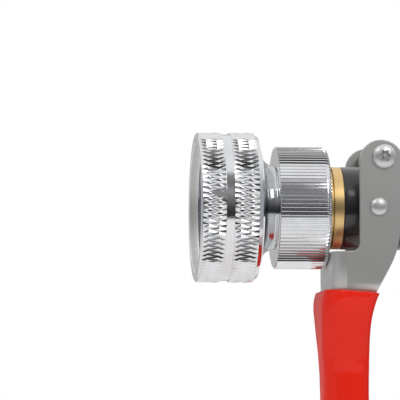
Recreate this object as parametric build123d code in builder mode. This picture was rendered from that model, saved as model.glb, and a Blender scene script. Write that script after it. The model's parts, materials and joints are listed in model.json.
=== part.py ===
"""Fire hose nozzle: trigger valve body with a raked hand grip, a flow ring and a pattern head.

The origin is the centre of the hose inlet's mouth, under the hand grip. The barrel lies along X
and discharges towards -X. +Z is up. Lengths are in millimetres.
"""
import os
from math import cos, hypot, radians, sin

from build123d import *

os.makedirs("parts", exist_ok=True)

# ---------------------------------------------------------------- clearances
RUNNING = 0.05          # radial, between a turning or sliding piece and its bearing
LOOSE = 0.3             # between pieces of two bodies that only pass each other
SEATED = 0.02           # radial, between pieces that are fixed to each other

# ---------------------------------------------------------------- hand grip and inlet
GRIP_LENGTH = 128.0     # barrel axis to the mouth of the inlet, along the grip
GRIP_RAKE = 12.0        # degrees that the grip leans back
COLUMN_RADIUS = 12.0
COLUMN_END = 26.0       # bottom of the casting, above the mouth
PASSAGE_RADIUS = 7.2    # water way up the grip
HUB_RADIUS = 15.0       # thick root of the grip, under the barrel
HUB_LENGTH = 25.0
GRIP_COVER_DEPTH = 33.0     # front to back
GRIP_COVER_WIDTH = 29.0
GRIP_COVER_TOP = 26.0       # below the barrel axis, along the grip
GRIP_COVER_BOTTOM = 29.0    # above the mouth
FINGER_PITCH = 19.0
FINGER_RADIUS = 14.0
FINGER_DEPTH = 2.2
FINGERS = 3
NUT_LENGTH = 19.4
NUT_ACROSS_FLATS = 32.0
THREAD_RADIUS = 12.06       # minor radius of a G 3/4 thread
THREAD_LENGTH = 11.0
NUT_LIP = 4.0               # top wall of the swivel nut
NIPPLE_NECK_RADIUS = 9.0
NIPPLE_BORE_RADIUS = 6.8
NIPPLE_FLANGE = 2.2         # thickness
NIPPLE_HEX = 25.0           # across flats
NIPPLE_HEX_LENGTH = 4.5
NIPPLE_SCREWED = 12.0       # length inside the casting
WASHER_THICKNESS = 1.8
STRAINER_THICKNESS = 0.8
STRAINER_HOLE_RADIUS = 1.0
STRAINER_PITCH = 2.9

# ---------------------------------------------------------------- barrel
BARREL_RADIUS = 16.6
BARREL_AHEAD = 47.9     # front face of the barrel, ahead of the grip's axis
BARREL_BEHIND = 19.0    # rear face of the barrel, behind the grip's axis
CYLINDER_RADIUS = 12.0  # bore in which the shuttle slides
CAP_LENGTH = 8.0
CAP_PLUG = 9.0          # length of the cap that is screwed into the barrel
CAP_FLOOR = 2.0         # from the spring's seat in the cap to the barrel's rear face
CAP_SOCKET = 8.0        # socket drive in the cap, across flats
CAP_SOCKET_DEPTH = 4.0
CAP_CHAMFER = 1.5

# ---------------------------------------------------------------- trigger
PIVOT_BEHIND_FRONT = 15.1   # pivot, behind the barrel's front face
PIVOT_HEIGHT = 19.3         # above the barrel axis
BOLT_RADIUS = 2.5
BOLT_HEAD_RADIUS = 4.75
BOLT_HEAD_HEIGHT = 2.75
BOLT_SOCKET = 4.2           # across flats
BOLT_SOCKET_DEPTH = 1.8
BOSS_RADIUS = 5.6
BOSS_HALF_WIDTH = 18.4
BUSH_RADIUS = 3.5
BUSH_FLANGE_RADIUS = 5.0
BUSH_FLANGE = 0.8
BUSH_LENGTH = 10.0
PIVOT_NUT = 8.0             # across flats
NUT_HEIGHT_SMALL = 5.0
PLATE = 2.5                 # sheet thickness of the lever
LEVER_LENGTH = 131.0        # pivot to the lower end
LEVER_WEB_AHEAD = 20.6      # front of the web, ahead of the pivot
LEVER_ARM_AHEAD = 9.8       # front edge of the arms, ahead of the pivot
LEVER_WEB_TOP = 37.6        # top edge of the web, below the pivot
LEVER_EYE_RADIUS = 8.8
LEVER_EYE_DROP = 2.1        # centre of the rounded upper end, below the pivot
LEVER_BACK = 6.5            # rear edge of the arms, behind the pivot
LEVER_SWEEP_FROM = 27.4     # rear edge starts to sweep forward, below the pivot
LEVER_SWEEP_TO = 68.0
LEVER_STEM_BACK = -6.0      # rear edge of the lower lever, seen from the pivot
LEVER_PINCH_FROM = 50.0     # the sides start to close in, below the pivot
LEVER_PINCH_TO = 80.0
LEVER_PINCHED_HALF = 13.0   # half width of the lower lever
LEVER_BEND = 6.0            # outside radius of the folds
LEVER_CORNER = 3.2
DIP = 2.4                   # wall of the dipped coat on the lever
DIP_TOP = 52.8              # front of the coat's rim, below the pivot
DIP_RIM_SLOPE = 5.0         # degrees that the rim falls towards the back
DIP_INNER_CORNER = 2.0
DIP_BACK_ROUND = 2.6
TRIGGER_TRAVEL = 18.0       # degrees
PIN_RADIUS = 2.0            # cross pin that draws the shuttle back
PIN_AHEAD = 2.1             # ahead of the pivot
PIN_DROP = 20.0             # below the pivot
PIN_HEAD_RADIUS = 3.5
PIN_HEAD_HEIGHT = 2.0
DOME_ROUNDING = 0.95        # rounding of a domed head, of its height

# ---------------------------------------------------------------- valve
NOSE_RADIUS = 10.4          # front of the shuttle, in the brass bush
NOSE_LENGTH = 9.7
SHUTTLE_LENGTH = 28.0
PORT_RADIUS = 1.9           # water ways past the cross pin
PORT_ACROSS = 3.0
PORT_UP = 5.6
STEM_DEPTH = 7.0            # valve stem's length inside the shuttle
STEM_HEAD_RADIUS = 4.6
STEM_HEAD_LENGTH = 0.9
RING_SECTION = 0.95         # O-ring wire radius
STEM_RADIUS = 2.5
VALVE_RADIUS = 7.2
VALVE_LENGTH = 3.6
VALVE_SEAL = 1.2
SEAT_RADIUS = 5.5
SEAT_OUTER = 9.0
SEAT_LENGTH = 2.4
SEAT_LIP = 0.8
SPRING_RADIUS = 8.6
SPRING_WIRE = 0.8
SPRING_TURNS = 6

# ---------------------------------------------------------------- brass bush
BUSH_RING_LENGTH = 3.8      # widest visible band
BUSH_RING_RADIUS = 16.5
BUSH_LIP_RADIUS = 16.2
BUSH_LIP_LENGTH = 0.9
BUSH_GROOVE_RADIUS = 15.2
BUSH_GROOVE_LENGTH = 0.5
BUSH_SPIGOT_RADIUS = 13.6
BUSH_SPIGOT_LENGTH = 10.2
BUSH_JOURNAL_RADIUS = 18.2
BUSH_JOURNAL_LENGTH = 6.4
VALVE_CHAMBER_RADIUS = 10.5

# ---------------------------------------------------------------- flow ring
FLOW_RING_RADIUS = 24.5
FLOW_RING_LENGTH = 20.6
FLOW_RING_REAR_ROUND = 2.0
FLOW_RING_GAP = 0.5         # behind the flow ring
FLOW_RING_WEB = 4.2         # front wall that runs on the neck
FLOW_TRAVEL = 2.4           # stroke of the baffle
TUBE_RADIUS = 11.0
TUBE_BORE = 8.0
SLIDER_RADIUS = 17.9
SLIDER_LENGTH = 5.0
CROSS_PIN_RADIUS = 1.5
CLIP_LENGTH = 1.0

# ---------------------------------------------------------------- neck and head
NECK_REAR_RADIUS = 16.8
NECK_FRONT_RADIUS = 24.0
NECK_LENGTH = 6.7
NECK_SHOULDER = 0.8         # straight edge at the wide end
NECK_BELLY = 1.6            # how far the cone's middle stands above its small end
NECK_JOURNAL_RADIUS = 15.4  # rear spigot of the neck, under the flow ring
HEAD_RADIUS = 30.0
HEAD_LENGTH = 24.4
HEAD_RIM_RADIUS = 25.8      # bore of the front rim
HEAD_RIM_DEPTH = 3.4
HEAD_BORE_RADIUS = 24.2
HEAD_BACK_WALL = 3.4
HEAD_JOURNAL_RADIUS = 19.6
HEAD_REAR_BEVEL = 1.6
HEAD_FRONT_BEVEL = 0.4
BAND_START = 9.8            # smooth band between the two knurls
BAND_END = 13.0
BAND_RADIUS = 29.3
RETAINER_RADIUS = 22.6
RETAINER_LENGTH = 2.2
SLEEVE_WALL = 4.4
SLEEVE_LENGTH = 9.0
SLEEVE_TRAVEL = 5.0
SLEEVE_FLARE = 2.0
SLEEVE_HOLE_FLOOR = 1.0
GUIDE_PIN_RADIUS = 1.0
GUIDE_PINS = 3
BAFFLE_RADIUS = 10.6
BAFFLE_LENGTH = 4.0
BAFFLE_SETBACK = 7.6        # behind the head's front face
BAFFLE_RIM = 1.5            # straight edge of the baffle
BAFFLE_STEM_RADIUS = 3.0
STEM_GUIDE_LENGTH = 3.0
STEM_GUIDE_PORTS = 4
STEM_GUIDE_PORT_RADIUS = 1.9
TUBE_SETBACK = 13.6         # mouth of the nozzle tube, behind the head's front face

# ---------------------------------------------------------------- places along the object
bore_z = GRIP_LENGTH * cos(radians(GRIP_RAKE))
grip_x = -GRIP_LENGTH * sin(radians(GRIP_RAKE))
barrel_front = grip_x - BARREL_AHEAD
barrel_rear = grip_x + BARREL_BEHIND
bush_lip_front = barrel_front - BUSH_RING_LENGTH - BUSH_GROOVE_LENGTH - BUSH_LIP_LENGTH
flow_rear = bush_lip_front - FLOW_RING_GAP
flow_front = flow_rear - FLOW_RING_LENGTH
neck_rear = flow_front - LOOSE
neck_front = neck_rear - NECK_LENGTH
head_rear = neck_front - LOOSE
head_front = head_rear - HEAD_LENGTH
tube_front = head_front + TUBE_SETBACK
spigot_rear = barrel_front + BUSH_SPIGOT_LENGTH
seat_front = flow_rear - 2.4
seat_rear = seat_front + SEAT_LENGTH
sleeve_front = head_front + HEAD_RIM_DEPTH + LOOSE
sleeve_rear = sleeve_front + SLEEVE_LENGTH
sleeve_radius = HEAD_BORE_RADIUS - LOOSE
guide_circle = sleeve_radius - SLEEVE_WALL / 2
guide_tip = sleeve_rear + SLEEVE_TRAVEL - SLEEVE_LENGTH + SLEEVE_HOLE_FLOOR + LOOSE
pivot_x = barrel_front + PIVOT_BEHIND_FRONT
pivot_z = bore_z + PIVOT_HEIGHT
pin_x = pivot_x - PIN_AHEAD
pin_z = pivot_z - PIN_DROP
arm_inner = BOSS_HALF_WIDTH + BUSH_FLANGE + 0.3
arm_outer = arm_inner + PLATE

barrel = Plane(origin=(0, 0, bore_z), x_dir=(1, 0, 0), z_dir=(0, -1, 0))
barrel_axis = Axis((0, 0, bore_z), (1, 0, 0))
middle = Plane(origin=(0, 0, 0), x_dir=(1, 0, 0), z_dir=(0, -1, 0))
grip_down = (sin(radians(GRIP_RAKE)), 0, -cos(radians(GRIP_RAKE)))
grip = Plane(
    origin=(grip_x, 0, bore_z),
    x_dir=(cos(radians(GRIP_RAKE)), 0, sin(radians(GRIP_RAKE))),
    z_dir=grip_down,
)


# ---------------------------------------------------------------- shared moves
def lathe(*points, mode=Mode.ADD):
    """Turn a closed outline of (x, radius) points about the barrel axis."""
    with BuildSketch(barrel) as outline:
        with BuildLine():
            Polyline(*points, close=True)
        make_face()
    revolve(outline.sketch, axis=barrel_axis, mode=mode)


def tube(x_from, x_to, outer, inner, mode=Mode.ADD):
    """Turn a plain ring between two places on the barrel axis."""
    lathe((x_from, inner), (x_to, inner), (x_to, outer), (x_from, outer), mode=mode)


def o_ring(x, outer):
    """Turn a ring of round wire of the outer radius."""
    with BuildSketch(barrel) as wire:
        with Locations((x, outer - RING_SECTION)):
            Circle(RING_SECTION)
    revolve(wire.sketch, axis=barrel_axis)


def groove(x, outer):
    """Cut the square groove that an O-ring lies in."""
    half = RING_SECTION + SEATED
    tube(x - half, x + half, outer + 1, outer - 2 * RING_SECTION, mode=Mode.SUBTRACT)


def grip_disc(start, end, radius, mode=Mode.ADD):
    """Extrude a disc between two distances down the grip from the barrel axis."""
    with BuildSketch(grip.offset(start)) as disc:
        Circle(radius)
    extrude(disc.sketch, amount=end - start, mode=mode)


def grip_hexagon(start, end, across_flats):
    """Extrude a hexagon between two distances down the grip."""
    with BuildSketch(grip.offset(start)) as hexagon:
        RegularPolygon(across_flats / 2, 6, major_radius=False)
    extrude(hexagon.sketch, amount=end - start)


def cross_disc(x, z, y_from, y_to, radius, mode=Mode.ADD):
    """Extrude a disc along Y, from one side of the object towards the other."""
    with BuildSketch(Plane(origin=(x, y_from, z), x_dir=(1, 0, 0), z_dir=(0, 1, 0))) as disc:
        Circle(radius)
    extrude(disc.sketch, amount=y_to - y_from, mode=mode)


def domed_head(part, x, z, y_face, side, radius, height):
    """Add a domed head that stands off a side face, on the -Y or the +Y side."""
    cross_disc(x, z, y_face, y_face + side * height, radius)
    top = part.faces().sort_by(Axis.Y)[0 if side < 0 else -1]
    fillet(top.edges(), radius=height * DOME_ROUNDING)


# ---------------------------------------------------------------- distances down the grip
mouth = GRIP_LENGTH
column_end = mouth - COLUMN_END
nut_top = mouth - NUT_LENGTH
nipple_hex_end = column_end + NIPPLE_HEX_LENGTH
nipple_flange_top = nut_top + NUT_LIP + LOOSE
nipple_end = nipple_flange_top + NIPPLE_FLANGE
thread_top = mouth - THREAD_LENGTH
nut_chamber_radius = THREAD_RADIUS + 0.5
cover_bottom = mouth - GRIP_COVER_BOTTOM

# ---------------------------------------------------------------- valve body
cap_plug_front = barrel_rear - CAP_PLUG
travel = radians(TRIGGER_TRAVEL)
pin_stroke = PIN_DROP * sin(travel) + PIN_AHEAD * (1 - cos(travel))
pin_rise = PIN_DROP * (1 - cos(travel)) - PIN_AHEAD * sin(travel)
pin_dip = hypot(PIN_DROP, PIN_AHEAD) - PIN_DROP
slot_half = PIN_RADIUS + LOOSE
slot_front = pin_x - slot_half
slot_rear = pin_x + pin_stroke + slot_half
slot_low = pin_z - pin_dip - slot_half
slot_high = pin_z + pin_rise + slot_half

with BuildPart() as valve_body:
    tube(barrel_front, barrel_rear, BARREL_RADIUS, CYLINDER_RADIUS)
    grip_disc(0, HUB_LENGTH, HUB_RADIUS)
    grip_disc(0, column_end, COLUMN_RADIUS)
    cross_disc(pivot_x, pivot_z, -BOSS_HALF_WIDTH, BOSS_HALF_WIDTH, BOSS_RADIUS)
    with BuildSketch(Plane.XY.offset(bore_z)):
        with Locations((pivot_x, 0)):
            Rectangle(2 * BOSS_RADIUS, BARREL_RADIUS * 1.5)
    extrude(amount=PIVOT_HEIGHT)
    tube(barrel_front - 1, spigot_rear, BUSH_SPIGOT_RADIUS + SEATED, 0, mode=Mode.SUBTRACT)
    tube(barrel_front, barrel_rear + 1, CYLINDER_RADIUS, 0, mode=Mode.SUBTRACT)
    grip_disc(0, mouth, PASSAGE_RADIUS, mode=Mode.SUBTRACT)
    grip_disc(column_end - NIPPLE_SCREWED, mouth, NIPPLE_NECK_RADIUS + SEATED, mode=Mode.SUBTRACT)
    cross_disc(pivot_x, pivot_z, -arm_inner, arm_inner, BUSH_RADIUS + SEATED, mode=Mode.SUBTRACT)
    with BuildSketch(Plane.XZ):
        with Locations(((slot_front + slot_rear) / 2, (slot_low + slot_high) / 2)):
            RectangleRounded(slot_rear - slot_front, slot_high - slot_low, PIN_RADIUS)
    extrude(amount=arm_inner, both=True, mode=Mode.SUBTRACT)

with BuildPart() as grip_cover:
    with BuildSketch(grip.offset(GRIP_COVER_TOP)):
        Ellipse(GRIP_COVER_DEPTH / 2, GRIP_COVER_WIDTH / 2)
    extrude(amount=cover_bottom - GRIP_COVER_TOP)
    fillet(grip_cover.edges(), radius=3.0)
    finger_middle = (GRIP_COVER_TOP + cover_bottom) / 2
    for finger in range(FINGERS):
        down = finger_middle + (finger - (FINGERS - 1) / 2) * FINGER_PITCH
        ahead = -GRIP_COVER_DEPTH / 2 - FINGER_RADIUS + FINGER_DEPTH
        centre = grip.from_local_coords((ahead, 0, down))
        cross_disc(
            centre.X, centre.Z, -GRIP_COVER_WIDTH, GRIP_COVER_WIDTH, FINGER_RADIUS, mode=Mode.SUBTRACT
        )
    grip_disc(0, mouth, COLUMN_RADIUS + SEATED, mode=Mode.SUBTRACT)

# ---------------------------------------------------------------- hose inlet
with BuildPart() as inlet_nipple:
    grip_disc(column_end - NIPPLE_SCREWED, nipple_end, NIPPLE_NECK_RADIUS)
    grip_hexagon(column_end, nipple_hex_end, NIPPLE_HEX)
    grip_disc(nipple_flange_top, nipple_end, THREAD_RADIUS - LOOSE)
    grip_disc(0, mouth, NIPPLE_BORE_RADIUS, mode=Mode.SUBTRACT)

with BuildPart() as swivel_nut:
    grip_hexagon(nut_top, mouth, NUT_ACROSS_FLATS)
    grip_disc(nut_top, mouth, THREAD_RADIUS, mode=Mode.SUBTRACT)
    grip_disc(nut_top + NUT_LIP, thread_top, nut_chamber_radius, mode=Mode.SUBTRACT)
    with BuildSketch(grip.offset(nut_top)):
        Circle(THREAD_RADIUS)
        Circle(NIPPLE_NECK_RADIUS + 2 * RUNNING, mode=Mode.SUBTRACT)
    extrude(amount=NUT_LIP)

with BuildPart() as inlet_washer:
    grip_disc(nipple_end, nipple_end + WASHER_THICKNESS, THREAD_RADIUS - LOOSE)
    grip_disc(0, mouth, NIPPLE_BORE_RADIUS + 1.4, mode=Mode.SUBTRACT)

with BuildPart() as inlet_strainer:
    grip_disc(nipple_end, nipple_end + STRAINER_THICKNESS, NIPPLE_BORE_RADIUS + 1.4 - SEATED)
    with BuildSketch(grip.offset(nipple_end)):
        with HexLocations(STRAINER_PITCH / 2, 3, 3, major_radius=False):
            Circle(STRAINER_HOLE_RADIUS)
    extrude(amount=STRAINER_THICKNESS, mode=Mode.SUBTRACT)

# ---------------------------------------------------------------- rear cap and return spring
shuttle_front = spigot_rear + LOOSE - NOSE_LENGTH
shuttle_rear = shuttle_front + SHUTTLE_LENGTH
spring_end = barrel_rear - CAP_FLOOR
cap_ring_x = barrel_rear - CAP_PLUG / 2

with BuildPart() as rear_cap:
    tube(cap_plug_front, barrel_rear, CYLINDER_RADIUS - SEATED, 0)
    tube(barrel_rear, barrel_rear + CAP_LENGTH, BARREL_RADIUS, 0)
    chamfer(rear_cap.faces().sort_by(Axis.X)[-1].edges(), length=CAP_CHAMFER)
    tube(cap_plug_front, spring_end, SPRING_RADIUS + SPRING_WIRE + LOOSE, 0, mode=Mode.SUBTRACT)
    groove(cap_ring_x, CYLINDER_RADIUS)
    with BuildSketch(Plane.YZ.offset(barrel_rear + CAP_LENGTH - CAP_SOCKET_DEPTH)):
        with Locations((0, bore_z)):
            RegularPolygon(CAP_SOCKET / 2, 6, major_radius=False)
    extrude(amount=CAP_SOCKET_DEPTH, mode=Mode.SUBTRACT)

with BuildPart() as rear_cap_seal:
    o_ring(cap_ring_x, CYLINDER_RADIUS)

with BuildPart() as return_spring:
    coil_length = spring_end - shuttle_rear - 2 * SPRING_WIRE
    coil_start = shuttle_rear + SPRING_WIRE
    with BuildLine() as coil:
        Helix(
            pitch=coil_length / SPRING_TURNS,
            height=coil_length,
            radius=SPRING_RADIUS,
            center=(coil_start, 0, bore_z),
            direction=(1, 0, 0),
        )
    with BuildSketch(coil.line ^ 0):
        Circle(SPRING_WIRE)
    sweep(path=coil.line, is_frenet=True)

# ---------------------------------------------------------------- trigger
eye_x = pivot_x - LEVER_ARM_AHEAD + LEVER_EYE_RADIUS
eye_z = pivot_z - LEVER_EYE_DROP
web_x = pivot_x - LEVER_WEB_AHEAD
web_z = pivot_z - LEVER_WEB_TOP
lever_end = pivot_z - LEVER_LENGTH
grip_rim = pivot_z - DIP_TOP


def side_outline(wall):
    """The lever seen from the side, grown by a wall on the outside of its lower half."""
    with BuildSketch(middle) as side:
        with BuildLine():
            Line((pivot_x - LEVER_ARM_AHEAD, web_z), (pivot_x - LEVER_ARM_AHEAD, eye_z))
            ThreePointArc(
                (eye_x - LEVER_EYE_RADIUS, eye_z),
                (eye_x, eye_z + LEVER_EYE_RADIUS),
                (eye_x + LEVER_EYE_RADIUS, eye_z),
            )
            back_top = (pivot_x + LEVER_BACK + wall, pivot_z - LEVER_SWEEP_FROM)
            back_low = (pivot_x + LEVER_STEM_BACK + wall, pivot_z - LEVER_SWEEP_TO)
            Line((eye_x + LEVER_EYE_RADIUS, eye_z), back_top)
            Spline(back_top, back_low, tangents=((0, -1), (0, -1)))
            Polyline(
                back_low,
                (back_low[0], lever_end - wall),
                (web_x - wall, lever_end - wall),
                (web_x - wall, web_z),
                (pivot_x - LEVER_ARM_AHEAD, web_z),
            )
        make_face()
    return side.sketch


def front_outline(half, pinched_half, low):
    """The lever seen from the front: wide at the barrel, pinched in at the fingers."""
    with BuildSketch(Plane.YZ.offset(web_x - LEVER_LENGTH)) as front:
        with BuildLine() as right:
            Polyline(
                (0, pivot_z + LEVER_LENGTH),
                (half, pivot_z + LEVER_LENGTH),
                (half, pivot_z - LEVER_PINCH_FROM),
                (pinched_half, pivot_z - LEVER_PINCH_TO),
                (pinched_half, low),
                (0, low),
            )
            mirror(right.line, about=Plane.YZ)
        make_face()
    return front.sketch


def round_front(part, radius):
    """Round the upright corners of the part's foremost face."""
    fillet(part.faces().sort_by(Axis.X)[0].edges().filter_by(Axis.Y, reverse=True), radius=radius)


with BuildPart() as lever_shell:
    extrude(side_outline(0), amount=arm_outer, both=True)
    front = front_outline(arm_outer, LEVER_PINCHED_HALF, lever_end)
    extrude(front, amount=3 * LEVER_LENGTH, mode=Mode.INTERSECT)
    round_front(lever_shell, LEVER_BEND)
    inner_corner = lever_shell.edges().filter_by(Axis.Y).filter_by(
        lambda edge: abs(edge.center().X - pivot_x + LEVER_ARM_AHEAD) < 0.01
        and abs(edge.center().Z - web_z) < 0.01
    )
    fillet(inner_corner, radius=LEVER_CORNER)

with BuildPart() as lever_hollow:
    with BuildSketch(middle):
        with Locations((web_x + PLATE, lever_end - PLATE)):
            Rectangle(LEVER_LENGTH, 2 * LEVER_LENGTH, align=(Align.MIN, Align.MIN))
    extrude(amount=arm_inner, both=True)
    front = front_outline(arm_inner, LEVER_PINCHED_HALF - PLATE, lever_end - PLATE)
    extrude(front, amount=3 * LEVER_LENGTH, mode=Mode.INTERSECT)
    round_front(lever_hollow, LEVER_BEND - PLATE)

with BuildPart() as trigger_lever:
    add(lever_shell.part)
    add(lever_hollow.part, mode=Mode.SUBTRACT)
    cross_disc(pivot_x, pivot_z, -arm_outer, arm_outer, BOLT_RADIUS + SEATED, mode=Mode.SUBTRACT)
    cross_disc(pin_x, pin_z, -arm_outer, arm_outer, PIN_RADIUS + SEATED, mode=Mode.SUBTRACT)

with BuildPart() as grip_hollow:
    with BuildSketch(middle):
        with Locations((web_x + PLATE + DIP, lever_end - 2 * DIP)):
            Rectangle(LEVER_LENGTH, 2 * LEVER_LENGTH, align=(Align.MIN, Align.MIN))
    extrude(amount=arm_inner, both=True)
    inner_half = LEVER_PINCHED_HALF - PLATE - DIP
    extrude(
        front_outline(arm_inner - DIP, inner_half, lever_end - 2 * DIP),
        amount=3 * LEVER_LENGTH,
        mode=Mode.INTERSECT,
    )
    round_front(grip_hollow, DIP_INNER_CORNER)

with BuildPart() as lever_grip:
    extrude(side_outline(DIP), amount=arm_outer + DIP, both=True)
    front = front_outline(arm_outer + DIP, LEVER_PINCHED_HALF + DIP, lever_end - DIP)
    extrude(front, amount=3 * LEVER_LENGTH, mode=Mode.INTERSECT)
    round_front(lever_grip, LEVER_BEND + DIP)
    rim_normal = (sin(radians(DIP_RIM_SLOPE)), 0, cos(radians(DIP_RIM_SLOPE)))
    with BuildSketch(Plane(origin=(web_x, 0, grip_rim), x_dir=(0, 1, 0), z_dir=rim_normal)):
        Rectangle(4 * LEVER_LENGTH, 4 * LEVER_LENGTH)
    extrude(amount=LEVER_LENGTH, mode=Mode.SUBTRACT)
    add(grip_hollow.part, mode=Mode.SUBTRACT)
    back_edges = lever_grip.edges().filter_by(
        lambda edge: edge.bounding_box().size.Z > DIP and edge.center().X > pivot_x + LEVER_STEM_BACK
    )
    fillet(back_edges, radius=DIP_BACK_ROUND)
    add(lever_shell.part.cut(lever_hollow.part), mode=Mode.SUBTRACT)

with BuildPart() as drive_pin:
    cross_disc(pin_x, pin_z, -arm_outer, arm_outer, PIN_RADIUS)
    for side in (-1, 1):
        domed_head(drive_pin, pin_x, pin_z, side * arm_outer, side, PIN_HEAD_RADIUS, PIN_HEAD_HEIGHT)

with BuildPart() as pivot_bolt:
    cross_disc(pivot_x, pivot_z, -arm_outer, arm_outer + NUT_HEIGHT_SMALL + 1, BOLT_RADIUS)
    domed_head(pivot_bolt, pivot_x, pivot_z, -arm_outer, -1, BOLT_HEAD_RADIUS, BOLT_HEAD_HEIGHT)
    head_face = -arm_outer - BOLT_HEAD_HEIGHT
    with BuildSketch(Plane(origin=(pivot_x, head_face, pivot_z), x_dir=(1, 0, 0), z_dir=(0, 1, 0))):
        RegularPolygon(BOLT_SOCKET / 2, 6, major_radius=False)
    extrude(amount=BOLT_SOCKET_DEPTH, mode=Mode.SUBTRACT)

with BuildPart() as pivot_nut:
    with BuildSketch(Plane(origin=(pivot_x, arm_outer, pivot_z), x_dir=(1, 0, 0), z_dir=(0, 1, 0))):
        RegularPolygon(PIVOT_NUT / 2, 6, major_radius=False)
        Circle(BOLT_RADIUS + SEATED, mode=Mode.SUBTRACT)
    extrude(amount=NUT_HEIGHT_SMALL)

with BuildPart() as pivot_bushes:
    for side in (-1, 1):
        face = side * BOSS_HALF_WIDTH
        cross_disc(pivot_x, pivot_z, face, face - side * BUSH_LENGTH, BUSH_RADIUS)
        cross_disc(pivot_x, pivot_z, face, face + side * BUSH_FLANGE, BUSH_FLANGE_RADIUS)
    cross_disc(pivot_x, pivot_z, -arm_outer, arm_outer, BOLT_RADIUS + RUNNING, mode=Mode.SUBTRACT)

# ---------------------------------------------------------------- brass bush and seat
journal_rear = flow_rear - LOOSE
journal_front = journal_rear - BUSH_JOURNAL_LENGTH
ring_front = barrel_front - BUSH_RING_LENGTH
groove_front = ring_front - BUSH_GROOVE_LENGTH
throat_radius = VALVE_RADIUS + LOOSE
tube_rear = seat_front
bush_ring_x = barrel_front + BUSH_SPIGOT_LENGTH / 2

with BuildPart() as brass_bush:
    tube(journal_front, journal_rear, BUSH_JOURNAL_RADIUS, 0)
    tube(journal_rear, barrel_front, BUSH_GROOVE_RADIUS, 0)
    tube(bush_lip_front, groove_front, BUSH_LIP_RADIUS, 0)
    tube(ring_front, barrel_front, BUSH_RING_RADIUS, 0)
    tube(barrel_front, spigot_rear, BUSH_SPIGOT_RADIUS, 0)
    groove(bush_ring_x, BUSH_SPIGOT_RADIUS)
    tube(journal_front, tube_rear, TUBE_RADIUS + SEATED, 0, mode=Mode.SUBTRACT)
    tube(seat_front, seat_rear, SEAT_OUTER + SEATED, 0, mode=Mode.SUBTRACT)
    tube(seat_rear, spigot_rear, throat_radius, 0, mode=Mode.SUBTRACT)
    tube(seat_rear + SEAT_LIP, spigot_rear, VALVE_CHAMBER_RADIUS, 0, mode=Mode.SUBTRACT)

with BuildPart() as bush_seal:
    o_ring(bush_ring_x, BUSH_SPIGOT_RADIUS)

with BuildPart() as seat_ring:
    tube(seat_front, seat_rear, SEAT_OUTER, SEAT_RADIUS)

# ---------------------------------------------------------------- shuttle and valve
seal_front = seat_rear + 2 * RUNNING
disc_front = seal_front + VALVE_SEAL
shuttle_radius = CYLINDER_RADIUS - 2 * RUNNING
nose_ring_x = shuttle_front + RING_SECTION + 0.2
tail_ring_x = shuttle_rear - RING_SECTION - 1.2

with BuildPart() as shuttle:
    tube(shuttle_front, shuttle_front + NOSE_LENGTH, NOSE_RADIUS, 0)
    tube(shuttle_front + NOSE_LENGTH, shuttle_rear, shuttle_radius, 0)
    groove(nose_ring_x, NOSE_RADIUS)
    groove(tail_ring_x, shuttle_radius)
    tube(shuttle_front, shuttle_front + STEM_DEPTH, STEM_RADIUS + SEATED, 0, mode=Mode.SUBTRACT)
    with BuildSketch(Plane.YZ.offset(shuttle_front)):
        with Locations((0, bore_z)):
            with GridLocations(2 * PORT_ACROSS, 2 * PORT_UP, 2, 2):
                Circle(PORT_RADIUS)
    extrude(amount=SHUTTLE_LENGTH, mode=Mode.SUBTRACT)
    hole_half = PIN_RADIUS + 2 * RUNNING
    hole_low = pin_z - pin_dip - hole_half
    hole_high = pin_z + pin_rise + hole_half
    with BuildSketch(middle):
        with Locations((pin_x, (hole_low + hole_high) / 2)):
            RectangleRounded(2 * hole_half, hole_high - hole_low, hole_half - SEATED)
    extrude(amount=CYLINDER_RADIUS, both=True, mode=Mode.SUBTRACT)

with BuildPart() as shuttle_rings:
    o_ring(nose_ring_x, NOSE_RADIUS)
    o_ring(tail_ring_x, shuttle_radius)

with BuildPart() as valve_stem:
    tube(seal_front - STEM_HEAD_LENGTH, seal_front, STEM_HEAD_RADIUS, 0)
    tube(seal_front, shuttle_front + STEM_DEPTH, STEM_RADIUS, 0)

with BuildPart() as valve_seal:
    tube(seal_front, disc_front, VALVE_RADIUS - 0.2, STEM_RADIUS + SEATED)

with BuildPart() as valve_disc:
    tube(disc_front, disc_front + VALVE_LENGTH, VALVE_RADIUS, STEM_RADIUS + SEATED)
    tube(disc_front + VALVE_LENGTH, shuttle_front, STEM_HEAD_RADIUS, STEM_RADIUS + SEATED)

# ---------------------------------------------------------------- nozzle tube, stem and baffle
clip_front = neck_rear + FLOW_RING_WEB + 2 * LOOSE
slider_rear = journal_front - LOOSE
slider_front = slider_rear - SLIDER_LENGTH
cross_pin_x = (slider_front + slider_rear) / 2
pin_slot = CROSS_PIN_RADIUS + LOOSE
baffle_front = head_front + BAFFLE_SETBACK
baffle_rear = baffle_front + BAFFLE_LENGTH
stem_rear = slider_rear

with BuildPart() as nozzle_tube:
    tube(tube_front, tube_rear, TUBE_RADIUS, TUBE_BORE)
    slot_from = cross_pin_x - FLOW_TRAVEL - pin_slot
    slot_to = cross_pin_x + pin_slot
    with BuildSketch(middle):
        with Locations(((slot_from + slot_to) / 2, bore_z)):
            RectangleRounded(slot_to - slot_from, 2 * pin_slot, pin_slot - SEATED)
    extrude(amount=TUBE_RADIUS, both=True, mode=Mode.SUBTRACT)

with BuildPart() as stem_guide:
    guide_x = neck_front + NECK_LENGTH / 2
    tube(guide_x, guide_x + STEM_GUIDE_LENGTH, TUBE_BORE - SEATED, BAFFLE_STEM_RADIUS + RUNNING)
    with BuildSketch(Plane.YZ.offset(guide_x)):
        with Locations((0, bore_z)):
            with PolarLocations((TUBE_BORE + BAFFLE_STEM_RADIUS) / 2, STEM_GUIDE_PORTS):
                Circle(STEM_GUIDE_PORT_RADIUS)
    extrude(amount=STEM_GUIDE_LENGTH, mode=Mode.SUBTRACT)

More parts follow.
